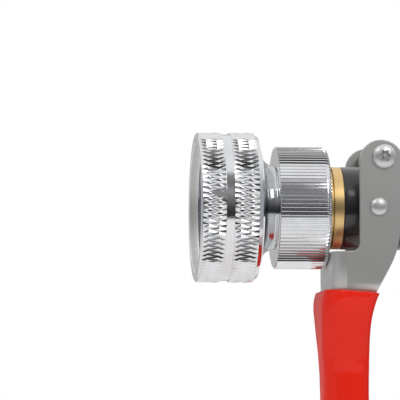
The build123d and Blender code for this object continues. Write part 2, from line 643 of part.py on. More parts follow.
with BuildPart() as baffle_stem:
    tube(baffle_front + BAFFLE_LENGTH / 2, stem_rear, BAFFLE_STEM_RADIUS, 0)
    reach = BAFFLE_STEM_RADIUS * 2
    cross_disc(cross_pin_x, bore_z, -reach, reach, CROSS_PIN_RADIUS + SEATED, mode=Mode.SUBTRACT)

with BuildPart() as baffle:
    lathe(
        (baffle_front, 0),
        (baffle_front, BAFFLE_RADIUS),
        (baffle_front + BAFFLE_RIM, BAFFLE_RADIUS),
        (baffle_rear, BAFFLE_STEM_RADIUS + 2),
        (baffle_rear, 0),
    )
    blind = baffle_front + BAFFLE_LENGTH / 2
    tube(blind, baffle_rear, BAFFLE_STEM_RADIUS + SEATED, 0, mode=Mode.SUBTRACT)

with BuildPart() as stem_slider:
    tube(slider_front, slider_rear, SLIDER_RADIUS, TUBE_RADIUS + RUNNING)
    cross_disc(
        cross_pin_x, bore_z, -SLIDER_RADIUS, SLIDER_RADIUS, CROSS_PIN_RADIUS + SEATED, mode=Mode.SUBTRACT
    )

with BuildPart() as stem_cross_pin:
    reach = SLIDER_RADIUS - 1
    cross_disc(cross_pin_x, bore_z, -reach, reach, CROSS_PIN_RADIUS)

# ---------------------------------------------------------------- flow ring
chamber_radius = BUSH_JOURNAL_RADIUS + RUNNING

with BuildPart() as flow_ring:
    tube(flow_front, flow_rear, FLOW_RING_RADIUS, 0)
    fillet(flow_ring.faces().sort_by(Axis.X)[-1].edges(), radius=FLOW_RING_REAR_ROUND)
    tube(flow_front, flow_rear, NECK_JOURNAL_RADIUS + RUNNING, 0, mode=Mode.SUBTRACT)
    tube(flow_front + FLOW_RING_WEB, flow_rear, chamber_radius, 0, mode=Mode.SUBTRACT)

with BuildPart() as flow_ring_clip:
    tube(clip_front, clip_front + CLIP_LENGTH, NECK_JOURNAL_RADIUS + 1.6, NECK_JOURNAL_RADIUS - 1.5)

# ---------------------------------------------------------------- neck
retainer_rear = head_rear - HEAD_BACK_WALL - LOOSE
retainer_front = retainer_rear - RETAINER_LENGTH
retainer_bore = TUBE_RADIUS + 4

with BuildPart() as neck_cone:
    with BuildSketch(barrel):
        with BuildLine():
            Polyline(
                (neck_front, NECK_FRONT_RADIUS),
                (neck_front, HEAD_JOURNAL_RADIUS),
                (retainer_rear, HEAD_JOURNAL_RADIUS),
                (retainer_rear, retainer_bore - SEATED),
                (retainer_front, retainer_bore - SEATED),
                (retainer_front, TUBE_RADIUS + SEATED),
                (clip_front + CLIP_LENGTH, TUBE_RADIUS + SEATED),
                (clip_front + CLIP_LENGTH, NECK_JOURNAL_RADIUS - 1.5 - SEATED),
                (clip_front, NECK_JOURNAL_RADIUS - 1.5 - SEATED),
                (clip_front, NECK_JOURNAL_RADIUS),
                (neck_rear, NECK_JOURNAL_RADIUS),
                (neck_rear, NECK_REAR_RADIUS),
            )
            ThreePointArc(
                (neck_rear, NECK_REAR_RADIUS),
                (neck_rear - NECK_LENGTH * 0.55, NECK_REAR_RADIUS + NECK_BELLY),
                (neck_front + NECK_SHOULDER, NECK_FRONT_RADIUS),
            )
            Line((neck_front + NECK_SHOULDER, NECK_FRONT_RADIUS), (neck_front, NECK_FRONT_RADIUS))
        make_face()
    revolve(axis=barrel_axis)

with BuildPart() as head_retainer:
    tube(retainer_front, retainer_rear, RETAINER_RADIUS, retainer_bore)
    with BuildSketch(Plane.YZ.offset(retainer_front)):
        with Locations((0, bore_z)):
            with PolarLocations(guide_circle, GUIDE_PINS):
                Circle(GUIDE_PIN_RADIUS + SEATED)
    extrude(amount=RETAINER_LENGTH, mode=Mode.SUBTRACT)

# ---------------------------------------------------------------- head
with BuildPart() as head_ring:
    tube(head_front, head_rear, HEAD_RADIUS, 0)
    chamfer(head_ring.faces().sort_by(Axis.X)[-1].edges(), length=HEAD_REAR_BEVEL)
    chamfer(head_ring.faces().sort_by(Axis.X)[0].edges(), length=HEAD_FRONT_BEVEL)
    tube(
        head_front + BAND_START, head_front + BAND_END, HEAD_RADIUS + 1, BAND_RADIUS, mode=Mode.SUBTRACT
    )
    tube(head_front, head_rear, HEAD_JOURNAL_RADIUS + RUNNING, 0, mode=Mode.SUBTRACT)
    tube(head_front, head_front + HEAD_RIM_DEPTH, HEAD_RIM_RADIUS, 0, mode=Mode.SUBTRACT)
    tube(head_front, head_rear - HEAD_BACK_WALL, HEAD_BORE_RADIUS, 0, mode=Mode.SUBTRACT)

with BuildPart() as shaper_sleeve:
    tube(sleeve_front, sleeve_rear, sleeve_radius, sleeve_radius - SLEEVE_WALL)
    chamfer(shaper_sleeve.faces().sort_by(Axis.X)[0].edges().sort_by(SortBy.RADIUS)[0], length=SLEEVE_FLARE)
    with BuildSketch(Plane.YZ.offset(sleeve_rear)):
        with Locations((0, bore_z)):
            with PolarLocations(guide_circle, GUIDE_PINS):
                Circle(GUIDE_PIN_RADIUS + LOOSE)
    extrude(amount=-(SLEEVE_LENGTH - SLEEVE_HOLE_FLOOR), mode=Mode.SUBTRACT)

with BuildPart() as guide_pins:
    with BuildSketch(Plane.YZ.offset(guide_tip)):
        with Locations((0, bore_z)):
            with PolarLocations(guide_circle, GUIDE_PINS):
                Circle(GUIDE_PIN_RADIUS)
    extrude(amount=retainer_rear - guide_tip)

# ---------------------------------------------------------------- files
pieces = {
    "valve_body": valve_body,
    "grip_cover": grip_cover,
    "inlet_nipple": inlet_nipple,
    "swivel_nut": swivel_nut,
    "inlet_washer": inlet_washer,
    "inlet_strainer": inlet_strainer,
    "rear_cap": rear_cap,
    "rear_cap_seal": rear_cap_seal,
    "return_spring": return_spring,
    "trigger_lever": trigger_lever,
    "lever_grip": lever_grip,
    "drive_pin": drive_pin,
    "pivot_bolt": pivot_bolt,
    "pivot_nut": pivot_nut,
    "pivot_bushes": pivot_bushes,
    "brass_bush": brass_bush,
    "bush_seal": bush_seal,
    "seat_ring": seat_ring,
    "shuttle": shuttle,
    "shuttle_rings": shuttle_rings,
    "valve_stem": valve_stem,
    "valve_seal": valve_seal,
    "valve_disc": valve_disc,
    "nozzle_tube": nozzle_tube,
    "stem_guide": stem_guide,
    "baffle_stem": baffle_stem,
    "baffle": baffle,
    "stem_slider": stem_slider,
    "stem_cross_pin": stem_cross_pin,
    "flow_ring": flow_ring,
    "flow_ring_clip": flow_ring_clip,
    "neck_cone": neck_cone,
    "head_retainer": head_retainer,
    "head_ring": head_ring,
    "shaper_sleeve": shaper_sleeve,
    "guide_pins": guide_pins,
}
for name, piece in pieces.items():
    piece.part.label = name
    export_step(piece.part, f"parts/{name}.step")
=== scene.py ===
"""Shapes, finishes and stage of a trigger fire hose nozzle with a knurled head.

The barrel lies along X and discharges towards -X, +Z is up, and the lengths in this file are in
millimetres, turned into metres by MM where they reach Blender.
"""
import json
from math import atan2, copysign, cos, pi, radians, sin, sqrt, tau

import bmesh
import bpy
from bpy.props import FloatProperty, FloatVectorProperty, IntProperty, PointerProperty
from mathutils import Euler, Matrix, Vector

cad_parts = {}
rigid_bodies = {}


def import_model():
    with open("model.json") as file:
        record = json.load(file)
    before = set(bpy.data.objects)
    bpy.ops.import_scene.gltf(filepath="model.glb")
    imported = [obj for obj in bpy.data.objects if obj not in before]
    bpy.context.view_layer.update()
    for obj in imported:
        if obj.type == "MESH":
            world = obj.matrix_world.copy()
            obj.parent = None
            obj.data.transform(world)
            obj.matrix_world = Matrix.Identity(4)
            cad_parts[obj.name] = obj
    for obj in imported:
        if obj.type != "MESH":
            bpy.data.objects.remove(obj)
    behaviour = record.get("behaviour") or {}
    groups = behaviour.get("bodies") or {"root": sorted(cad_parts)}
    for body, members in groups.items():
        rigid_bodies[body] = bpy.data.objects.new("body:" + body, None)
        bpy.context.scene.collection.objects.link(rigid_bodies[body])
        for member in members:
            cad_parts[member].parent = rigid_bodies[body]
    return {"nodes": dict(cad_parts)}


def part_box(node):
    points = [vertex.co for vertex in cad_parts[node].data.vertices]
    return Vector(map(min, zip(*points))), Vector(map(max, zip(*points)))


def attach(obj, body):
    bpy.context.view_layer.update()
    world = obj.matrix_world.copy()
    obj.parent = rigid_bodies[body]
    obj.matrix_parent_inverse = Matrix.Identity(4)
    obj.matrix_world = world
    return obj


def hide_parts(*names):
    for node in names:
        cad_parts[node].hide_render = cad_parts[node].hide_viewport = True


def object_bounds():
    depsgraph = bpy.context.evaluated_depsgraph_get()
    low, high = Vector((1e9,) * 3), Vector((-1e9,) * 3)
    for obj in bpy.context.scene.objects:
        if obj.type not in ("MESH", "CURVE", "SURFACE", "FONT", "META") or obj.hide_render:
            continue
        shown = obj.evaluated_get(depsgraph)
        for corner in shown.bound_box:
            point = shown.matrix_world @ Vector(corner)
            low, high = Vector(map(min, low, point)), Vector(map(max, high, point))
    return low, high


bl_info = {
    "name": "Fire Hose Nozzle",
    "version": (1, 0, 0),
    "blender": (4, 5, 0),
    "location": "3D View > Sidebar > Nozzle",
    "description": "Models the pieces of a trigger fire hose nozzle around its fixed frame",
    "category": "Add Mesh",
}

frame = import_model()
FRAME_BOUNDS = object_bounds()

MM = 0.001
WELD = 0.001 * MM


def node_box(node):
    """Lowest and highest corner of a frame node, in millimetres."""
    low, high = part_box(node)
    return low / MM, high / MM


# ---------------------------------------------------------------- places taken from the frame
HEAD_LOW, HEAD_HIGH = node_box("head_ring")
FLOW_LOW, FLOW_HIGH = node_box("flow_ring")
NECK_LOW, NECK_HIGH = node_box("neck_cone")
BUSH_LOW, BUSH_HIGH = node_box("brass_bush")
BODY_LOW, _ = node_box("valve_body")
CAP_LOW, CAP_HIGH = node_box("rear_cap")
BOLT_LOW, BOLT_HIGH = node_box("pivot_bolt")
PIN_LOW, PIN_HIGH = node_box("drive_pin")
NUT_LOW, NUT_HIGH = node_box("pivot_nut")
BAFFLE_LOW, BAFFLE_HIGH = node_box("baffle")

AXIS_Z = (HEAD_LOW.z + HEAD_HIGH.z) / 2
HEAD_RADIUS = (HEAD_HIGH.z - HEAD_LOW.z) / 2
FLOW_RADIUS = (FLOW_HIGH.z - FLOW_LOW.z) / 2
BARREL_FRONT = BODY_LOW.x
BARREL_REAR = CAP_HIGH.x - 8.0      # the cap stands 8 behind the barrel
PIVOT_X = (BOLT_LOW.x + BOLT_HIGH.x) / 2
PIVOT_Z = (BOLT_LOW.z + BOLT_HIGH.z) / 2
PIN_X = (PIN_LOW.x + PIN_HIGH.x) / 2
PIN_Z = (PIN_LOW.z + PIN_HIGH.z) / 2
RAKE = radians(12)                  # lean of the hand grip
GRIP_LENGTH = AXIS_Z / cos(RAKE)
GRIP_X = -GRIP_LENGTH * sin(RAKE)


class Spindle:
    """An axis to work about: places lie a distance along it and a radius out from it."""

    def __init__(self, start, along, out, turn):
        self.start = Vector(start)
        self.along = Vector(along)
        self.out = Vector(out)
        self.turn = turn

    def place(self, distance, radius=0.0):
        """A point in metres."""
        return (self.start + self.along * distance + self.out * radius) * MM

    def distance(self, point):
        """How far along the spindle a point in metres lies."""
        return (point / MM - self.start).dot(self.along)

    def radius(self, point):
        """How far out from the spindle a point in metres lies."""
        offset = point / MM - self.start
        return (offset - self.along * offset.dot(self.along)).length

    def angle(self, point):
        """The angle of a point in metres about the spindle, from the out direction."""
        offset = point / MM - self.start
        side = self.along.cross(self.out)
        return atan2(offset.dot(side), offset.dot(self.out)) % tau


BARREL = Spindle((0, 0, AXIS_Z), (1, 0, 0), (0, 0, 1), (0, pi / 2, 0))
GRIP = Spindle(
    (GRIP_X, 0, AXIS_Z), (sin(RAKE), 0, -cos(RAKE)), (cos(RAKE), 0, sin(RAKE)), (0, pi - RAKE, 0)
)
PIVOT = Spindle((PIVOT_X, 0, PIVOT_Z), (0, 1, 0), (0, 0, 1), (-pi / 2, 0, 0))
CROSS_PIN = Spindle((PIN_X, 0, PIN_Z), (0, 1, 0), (0, 0, 1), (-pi / 2, 0, 0))


# ---------------------------------------------------------------- sizes and colours
def length_setting(name, description, default, low):
    """A length in mm that can be set."""
    return FloatProperty(name=name, description=description + " in mm", default=default, min=low)


def colour_setting(name, description, default):
    """A colour that can be set."""
    return FloatVectorProperty(
        name=name, description=description, subtype="COLOR", size=3, default=default
    )


class NozzleSizes(bpy.types.PropertyGroup):
    """Sizes of the surface detail."""

    knurl_cells: IntProperty(
        name="Knurl cells", description="Diamonds in one turn of the head", default=86, min=40
    )
    knurl_depth: length_setting("Knurl depth", "Depth of the diamond knurl", 0.5, 0.1)
    knurl_flat: FloatProperty(
        name="Knurl flat", description="Width of a diamond's flat top, of the whole", default=0.42, max=0.8
    )
    knurl_reach: length_setting("Knurl reach", "Half the length of a diamond", 4.2, 1.0)
    ridges: IntProperty(
        name="Ridges", description="Ridges in one turn of the flow ring", default=96, min=24
    )
    ridge_depth: length_setting("Ridge depth", "Depth of the ridges", 0.55, 0.1)
    edge_softness: length_setting("Edge softness", "Bevel on machined edges", 0.15, 0.02)
    sheet_edge: length_setting("Sheet edge", "Bevel on the edges of the lever", 0.45, 0.02)
    coat_swell: length_setting("Coat swell", "Unevenness of the dipped coat", 0.5, 0.0)
    rib_depth: length_setting("Rib depth", "Depth of the ribs round the hand grip", 0.7, 0.0)


class NozzleColours(bpy.types.PropertyGroup):
    """Colours of the finishes."""

    chrome: colour_setting("Chrome", "Plated metal", (0.76, 0.77, 0.785))
    brass: colour_setting("Brass", "Turned brass", (0.78, 0.55, 0.25))
    stainless: colour_setting("Stainless", "Brushed sheet", (0.88, 0.88, 0.87))
    vinyl: colour_setting("Vinyl", "Dipped coat", (0.70, 0.02, 0.009))
    coating: colour_setting("Coating", "Powder coat", (0.012, 0.0125, 0.014))
    rubber: colour_setting("Rubber", "Hand grip", (0.02, 0.02, 0.021))


class NozzleStage(bpy.types.PropertyGroup):
    """Camera and light."""

    camera_azimuth: FloatProperty(
        name="Azimuth", description="Turn of the camera from -Y", subtype="ANGLE", default=radians(-5.4)
    )
    camera_elevation: FloatProperty(
        name="Elevation", description="Rise of the camera", subtype="ANGLE", default=radians(-4.2)
    )
    camera_distance: FloatProperty(
        name="Distance", description="From the camera to its aim", unit="LENGTH", default=1.4
    )
    lens: FloatProperty(name="Lens", description="Focal length in mm", default=315.0)
    key_power: FloatProperty(name="Key light", description="Upper left lamp", default=1.3)
    lever_power: FloatProperty(name="Lever light", description="Near lamp above the lever", default=0.24)
    sky: FloatProperty(name="Sky", description="Even light from all round", default=0.92)


# ---------------------------------------------------------------- bench work
def clear_bench():
    """Leave edit mode and select nothing."""
    if bpy.context.mode != "OBJECT":
        bpy.ops.object.mode_set(mode="OBJECT")
    bpy.ops.object.select_all(action="DESELECT")


def pick_up(piece):
    """Make one piece the only selected and active object."""
    clear_bench()
    piece.select_set(True)
    bpy.context.view_layer.objects.active = piece


def settle(name):
    """Name the primitive just added, and lay its place into its mesh."""
    piece = bpy.context.object
    piece.name = name
    piece.data.name = name
    bpy.ops.object.transform_apply(location=True, rotation=True, scale=True)
    return piece


def edit(piece):
    """Open a piece in edit mode with nothing selected."""
    pick_up(piece)
    bpy.ops.object.mode_set(mode="EDIT")
    bpy.ops.mesh.select_all(action="DESELECT")


def choose(piece, kind, test):
    """Select the vertices, edges or faces that pass a test, in edit mode."""
    bpy.ops.mesh.select_mode(type=kind)
    bpy.ops.mesh.select_all(action="DESELECT")
    shape = bmesh.from_edit_mesh(piece.data)
    members = {"VERT": shape.verts, "EDGE": shape.edges, "FACE": shape.faces}[kind]
    for member in members:
        if test(member):
            member.select_set(True)
    shape.select_flush_mode()
    bmesh.update_edit_mesh(piece.data)


def squeeze_to_barrel(size, place):
    """Draw what is selected towards the barrel's axis, or away from it."""
    bpy.ops.transform.resize(value=(1, size, size), center_override=BARREL.place(place))


def weld():
    """Merge doubled vertices and turn the faces outwards, in edit mode."""
    bpy.ops.mesh.select_all(action="SELECT")
    bpy.ops.mesh.remove_doubles(threshold=WELD)
    bpy.ops.mesh.normals_make_consistent(inside=False)


def apply_modifier(piece, kind, **settings):
    """Add a modifier, set it and apply it."""
    pick_up(piece)
    bpy.ops.object.modifier_add(type=kind)
    modifier = piece.modifiers[-1]
    for name, value in settings.items():
        setattr(modifier, name, value)
    bpy.ops.object.modifier_apply(modifier=modifier.name)


def soften(piece, width, angle=35.0, segments=2):
    """Bevel the edges that are sharper than an angle."""
    apply_modifier(
        piece,
        "BEVEL",
        width=width * MM,
        segments=segments,
        limit_method="ANGLE",
        angle_limit=radians(angle),
    )


def cut(piece, cutter, operation="DIFFERENCE"):
    """Cut one piece with another, which is used up."""
    apply_modifier(piece, "BOOLEAN", object=cutter, operation=operation, solver="MANIFOLD")
    bpy.data.objects.remove(cutter, do_unlink=True)


def shade(piece, angle=30.0):
    """Smooth shading, with the sharp edges and the flats kept."""
    pick_up(piece)
    bpy.ops.object.shade_smooth_by_angle(angle=radians(angle))
    apply_modifier(piece, "WEIGHTED_NORMAL", weight=100, keep_sharp=True)


def slab(name, centre, size):
    """A block, from its centre and its three sizes."""
    clear_bench()
    bpy.ops.mesh.primitive_cube_add(size=MM, location=Vector(centre) * MM, scale=size)
    return settle(name)


def measured_from(start, points):
    """Outline points (distance, radius) whose distances count from a start."""
    return [(start + distance, radius) for distance, radius in points]


def turned(name, spindle, outline, steps, ring=True):
    """Turn an outline of (distance, radius) points about a spindle."""
    clear_bench()
    here = spindle.place(*outline[0])
    bpy.ops.mesh.primitive_plane_add(size=MM, location=here)
    piece = settle(name)
    edit(piece)
    bpy.ops.mesh.select_mode(type="VERT")
    bpy.ops.mesh.select_all(action="SELECT")
    bpy.ops.mesh.merge(type="CENTER")
    path = list(outline[1:])
    if ring:
        path.append(outline[0])
    for point in path:
        there = spindle.place(*point)
        bpy.ops.mesh.extrude_vertices_move(TRANSFORM_OT_translate={"value": there - here})
        here = there
    bpy.ops.mesh.select_all(action="SELECT")
    bpy.ops.mesh.remove_doubles(threshold=WELD)
    bpy.ops.mesh.spin(steps=steps, angle=tau, center=spindle.place(0), axis=spindle.along)
    weld()
    clear_bench()
    return piece


def rod(name, spindle, start, end, radius, sides, roll=0.0):
    """A round or many-sided bar along a spindle, rolled about it by an angle."""
    clear_bench()
    turn = Euler(spindle.turn).to_matrix() @ Matrix.Rotation(roll, 3, "Z")
    bpy.ops.mesh.primitive_cylinder_add(
        vertices=sides,
        radius=radius * MM,
        depth=abs(end - start) * MM,
        location=spindle.place((start + end) / 2),
        rotation=turn.to_euler(),
    )
    return settle(name)


def hexagon(name, spindle, start, end, across, chamfer):
    """A hexagon bar whose corners are turned down at both ends."""
    bar = rod(name, spindle, start, end, across / sqrt(3), 6, radians(30))
    wide = across / sqrt(3) + 0.2
    narrow = across / 2 - 0.1
    cone = turned(
        name + "_corners",
        spindle,
        (
            (start - 0.01, 0),
            (start - 0.01, narrow),
            (start + chamfer, wide),
            (end - chamfer, wide),
            (end + 0.01, narrow),
            (end + 0.01, 0),
        ),
        96,
        ring=False,
    )
    cut(bar, cone, "INTERSECT")
    return bar


def welded_copy(node, name):
    """A copy of a frame node, welded and with its flat faces whole, to work on as a new piece."""
    pick_up(frame["nodes"][node])
    bpy.ops.object.duplicate()
    piece = bpy.context.object
    bpy.ops.object.parent_clear(type="CLEAR")
    for key in [key for key in piece.keys() if key.startswith("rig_")]:
        del piece[key]
    piece.name = name
    piece.data.name = name
    bpy.ops.mesh.customdata_custom_splitnormals_clear()
    edit(piece)
    bpy.ops.mesh.select_all(action="SELECT")
    bpy.ops.mesh.remove_doubles(threshold=WELD)
    bpy.ops.mesh.dissolve_limited(angle_limit=radians(0.4))
    clear_bench()
    return piece


def flow_together(piece, voxel, rounds):
    """Fuse a piece's overlapping solids into one skin with rounded meets, as a casting has."""
    pick_up(piece)
    piece.data.remesh_voxel_size = voxel * MM
    bpy.ops.object.voxel_remesh()
    apply_modifier(piece, "SMOOTH", factor=0.5, iterations=rounds)


def joined(name, pieces):
    """Join pieces into one object."""
    pick_up(pieces[0])
    for piece in pieces[1:]:
        piece.select_set(True)
    bpy.ops.object.join()
    pieces[0].name = name
    return pieces[0]


def place_piece(piece, body, nodes, finish_name, angle=30.0):
    """Give a finished piece its shading, finish, body, slot and the nodes that it stands for."""
    shade(piece, angle)
    piece.data.materials.clear()
    piece.data.materials.append(finish(finish_name))
    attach(piece, body)
    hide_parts(*nodes)


# ---------------------------------------------------------------- finishes
class Signal:
    """The output of a node: arithmetic on it adds Math nodes."""

    def __init__(self, graph, socket):
        self.graph = graph
        self.socket = socket

    def maths(self, operation, first, second=0.0):
        """The result of a Math node."""
        node = self.graph.add("ShaderNodeMath", {"operation": operation}, {0: first, 1: second})
        return Signal(self.graph, node.outputs[0])

    def __add__(self, other):
        return self.maths("ADD", self, other)

    __radd__ = __add__

    def __sub__(self, other):
        return self.maths("SUBTRACT", self, other)

    def __rsub__(self, other):
        return self.maths("SUBTRACT", other, self)

    def __mul__(self, other):
        return self.maths("MULTIPLY", self, other)

    __rmul__ = __mul__

    def __truediv__(self, other):
        return self.maths("DIVIDE", self, other)

    def __rtruediv__(self, other):
        return self.maths("DIVIDE", other, self)

    def __pow__(self, other):
        return self.maths("POWER", self, other)

    def __abs__(self):
        return self.maths("ABSOLUTE", self)

    def at_least(self, other):
        return self.maths("MAXIMUM", self, other)


class Graph:
    """The nodes of one material or of the world."""

    def __init__(self, tree):
        self.tree = tree
        tree.nodes.clear()

    def add(self, kind, settings, sockets):
        """Add a node, set it, then give its sockets their values or links."""
        node = self.tree.nodes.new(kind)
        for name, value in settings.items():
            setattr(node, name, value)
        for name, value in sockets.items():
            if isinstance(value, Signal):
                self.tree.links.new(value.socket, node.inputs[name])
            else:
                node.inputs[name].default_value = value
        return node

    def signal(self, kind, settings, sockets, output=0):
        """One output of a new node."""
        return Signal(self, self.add(kind, settings, sockets).outputs[output])

    def coordinates(self, stretch=(1, 1, 1)):
        """Object coordinates, squeezed or drawn out along the axes."""
        here = self.signal("ShaderNodeTexCoord", {}, {}, "Object")
        if tuple(stretch) == (1, 1, 1):
            return here
        return self.signal("ShaderNodeMapping", {}, {"Vector": here, "Scale": stretch})

    def noise(self, size, stretch=(1, 1, 1), detail=3.0):
        """Noise whose features are about a size in mm."""
        return self.signal(
            "ShaderNodeTexNoise",
            {},
            {"Vector": self.coordinates(stretch), "Scale": 1 / (size * MM), "Detail": detail},
        )

    def scratches(self, size, stretch):
        """Thin lines between stretched cells."""
        return self.signal(
            "ShaderNodeTexVoronoi",
            {"feature": "DISTANCE_TO_EDGE"},
            {"Vector": self.coordinates(stretch), "Scale": 1 / (size * MM)},
        )

    def between(self, value, low, high, start=0.0, end=1.0):
        """Spread a value's range low to high over start to end."""
        return self.signal(
            "ShaderNodeMapRange",
            {"clamp": True},
            {"Value": value, "From Min": low, "From Max": high, "To Min": start, "To Max": end},
        )

    def ramp(self, value, stops):
        """A grey ramp through (position, brightness) stops."""
        node = self.add("ShaderNodeValToRGB", {}, {0: value})
        elements = node.color_ramp.elements
        for position, light in stops[1:-1]:
            elements.new(position)
        for element, (position, light) in zip(elements, stops):
            element.position = position
            element.color = (light, light, light, 1)
        return Signal(self, node.outputs[0])

    def blend(self, factor, first, second):
        """Mix two colours."""
        node = self.add(
            "ShaderNodeMix", {"data_type": "RGBA"}, {0: factor, 6: first, 7: second}
        )
        return Signal(self, node.outputs[2])


def rgba(colour, scale=1.0):
    """A colour with full alpha, made lighter or darker."""
    return (colour[0] * scale, colour[1] * scale, colour[2] * scale, 1.0)


ROUND_BARREL = (1, 0.02, 0.02)     # stretch that leaves rings about the barrel
ALONG_LEVER = (1, 1, 0.03)         # stretch that leaves lines down the lever
EVEN = (1, 1, 1)

# colour or its name in the settings, metal, roughness low and high, darker tone, mottle size,
# grain size, grain stretch, grain height, clear coat (sizes in mm)
FINISH_TABLE = {
    "polished_chrome": ("chrome", 1, 0.05, 0.11, 0.93, 9.0, 0.35, ROUND_BARREL, 0.004, 0.0),
    "knurled_chrome": ("chrome", 1, 0.07, 0.15, 0.90, 6.0, 0.5, EVEN, 0.006, 0.0),
    "satin_chrome": ((0.9, 0.9, 0.91), 1, 0.45, 0.6, 0.93, 6.0, 0.4, ROUND_BARREL, 0.006, 0.0),
    # dark chrome; where it lines the deep bore of the head, its darkness is painted shade of the recess
    "dark_chrome": ((0.42, 0.43, 0.46), 1, 0.08, 0.2, 0.8, 7.0, 0.3, ROUND_BARREL, 0.008, 0.0),
    "turned_brass": ("brass", 1, 0.3, 0.42, 0.88, 8.0, 0.28, ROUND_BARREL, 0.012, 0.0),
    "plain_brass": ("brass", 1, 0.24, 0.36, 0.86, 8.0, 0.4, EVEN, 0.008, 0.0),
    "sintered_bronze": ((0.62, 0.42, 0.24), 1, 0.35, 0.5, 0.8, 3.0, 0.25, EVEN, 0.03, 0.0),
    "brushed_stainless": ("stainless", 1, 0.46, 0.62, 0.84, 14.0, 0.35, ALONG_LEVER, 0.016, 0.0),
    "fastener_steel": ((0.54, 0.54, 0.53), 1, 0.14, 0.26, 0.86, 3.0, 0.3, EVEN, 0.006, 0.0),
    "spring_steel": ((0.55, 0.55, 0.56), 1, 0.2, 0.32, 0.85, 3.0, 0.3, EVEN, 0.008, 0.0),
    "powder_coating": ("coating", 0, 0.2, 0.3, 0.85, 10.0, 0.7, EVEN, 0.012, 0.3),
    "hand_rubber": ("rubber", 0, 0.55, 0.75, 0.8, 8.0, 0.5, EVEN, 0.05, 0.0),
    "seal_rubber": ((0.025, 0.025, 0.026), 0, 0.45, 0.6, 0.8, 5.0, 0.4, EVEN, 0.02, 0.0),
    "dipped_vinyl": ("vinyl", 0, 0.3, 0.4, 0.94, 16.0, 5.0, EVEN, 0.08, 0.35),
    "white_plastic": ((0.82, 0.82, 0.79), 0, 0.35, 0.5, 0.94, 6.0, 0.3, ROUND_BARREL, 0.02, 0.0),
}
PLAIN_SHINE = 0.5
VINYL_SHINE = 0.0       # the clear coat alone makes the vinyl's highlights
COAT_ROUGHNESS = 0.08
NICK_SPACING = 9        # in grains


def finish_colour(colour):
    """A finish's own colour, or the one that it takes from the settings by name."""
    if isinstance(colour, str):
        return getattr(bpy.context.scene.nozzle_colours, colour)
    return colour


def finish(name):
    """The material of one finish, made when it is first asked for."""
    if name in bpy.data.materials:
        return bpy.data.materials[name]
    colour, metal, smooth, rough, tone, mottle, grain, stretch, height, coat = FINISH_TABLE[name]
    colour = finish_colour(colour)
    shine = VINYL_SHINE if name == "dipped_vinyl" else PLAIN_SHINE
    material = bpy.data.materials.new(name)
    material.use_nodes = True
    graph = Graph(material.node_tree)
    cloud = graph.noise(mottle)
    fine = graph.noise(grain, stretch, 4.0)
    nicks = graph.between(graph.scratches(grain * NICK_SPACING, stretch), 0.0, 0.02, 1.0, 0.0)
    wear = graph.between(cloud, 0.35, 0.7)
    base = graph.blend(wear * 0.7 + fine * 0.3, rgba(colour), rgba(colour, tone))
    roughness = graph.between(cloud * 0.6 + fine * 0.4, 0.3, 0.7, smooth, rough)
    bump = graph.signal(
        "ShaderNodeBump",
        {},
        {"Strength": 1.0, "Distance": height * MM, "Height": fine - nicks * 0.3},
    )
    shader = graph.add(
        "ShaderNodeBsdfPrincipled",
        {},
        {
            "Base Color": base,
            "Metallic": float(metal),
            "Specular IOR Level": shine,
            "Roughness": roughness,
            "Coat Weight": coat,
            "Coat Roughness": COAT_ROUGHNESS,
            "Normal": bump,
        },
    )
    graph.add("ShaderNodeOutputMaterial", {}, {"Surface": Signal(graph, shader.outputs[0])})
    return material


# ---------------------------------------------------------------- pattern head
HEAD_BORE = 24.2
HEAD_JOURNAL = 19.65
RIM_BORE = 25.8
RIM_DEPTH = 3.4
BACK_WALL = 3.4
BAND_FROM = 9.8
BAND_TO = 13.0
BAND_RADIUS = 29.3
FRONT_LAND = 0.45
REAR_BEVEL = 1.6
POINTER_TIP = 3.7
POINTER_HALF = 2.7
POINTER_ANGLE = 7.0        # degrees above the horizon
POINTER_ROOT = 1.0         # below the head's radius
POINTER_TOP = 0.1          # below the head's radius
POINTER_CENTRE = tau - (pi / 2 - radians(POINTER_ANGLE))
UNDER_POINTER = 0.6        # how far the knurl is cut away where the pointer stands
BAND_EDGE = 0.5            # depth of the step beside a band of knurl
FIRST_ROWS = (2.85, 15.6)  # first full row of each band, behind the front
KNURL_LOW = 0.12           # keeps the knurl's corners inside the head's radius


def knurl_rows(start, end, first, reach):
    """The knurl's rows as (place, how far each of the two column sets has sunk, 0 to 1)."""
    before = (first - start) / reach
    rows = [(start, 1 - before, before)]
    place, raised = first, True
    while place < end - 0.2:
        rows.append((place, 0.0, 1.0) if raised else (place, 1.0, 0.0))
        place, raised = place + reach, not raised
    after = (place - end) / reach
    rows.append((end, after, 1 - after) if raised else (end, 1 - after, after))
    if before < 1:
        rows[0] = (start, before, 1 - before)
    return rows


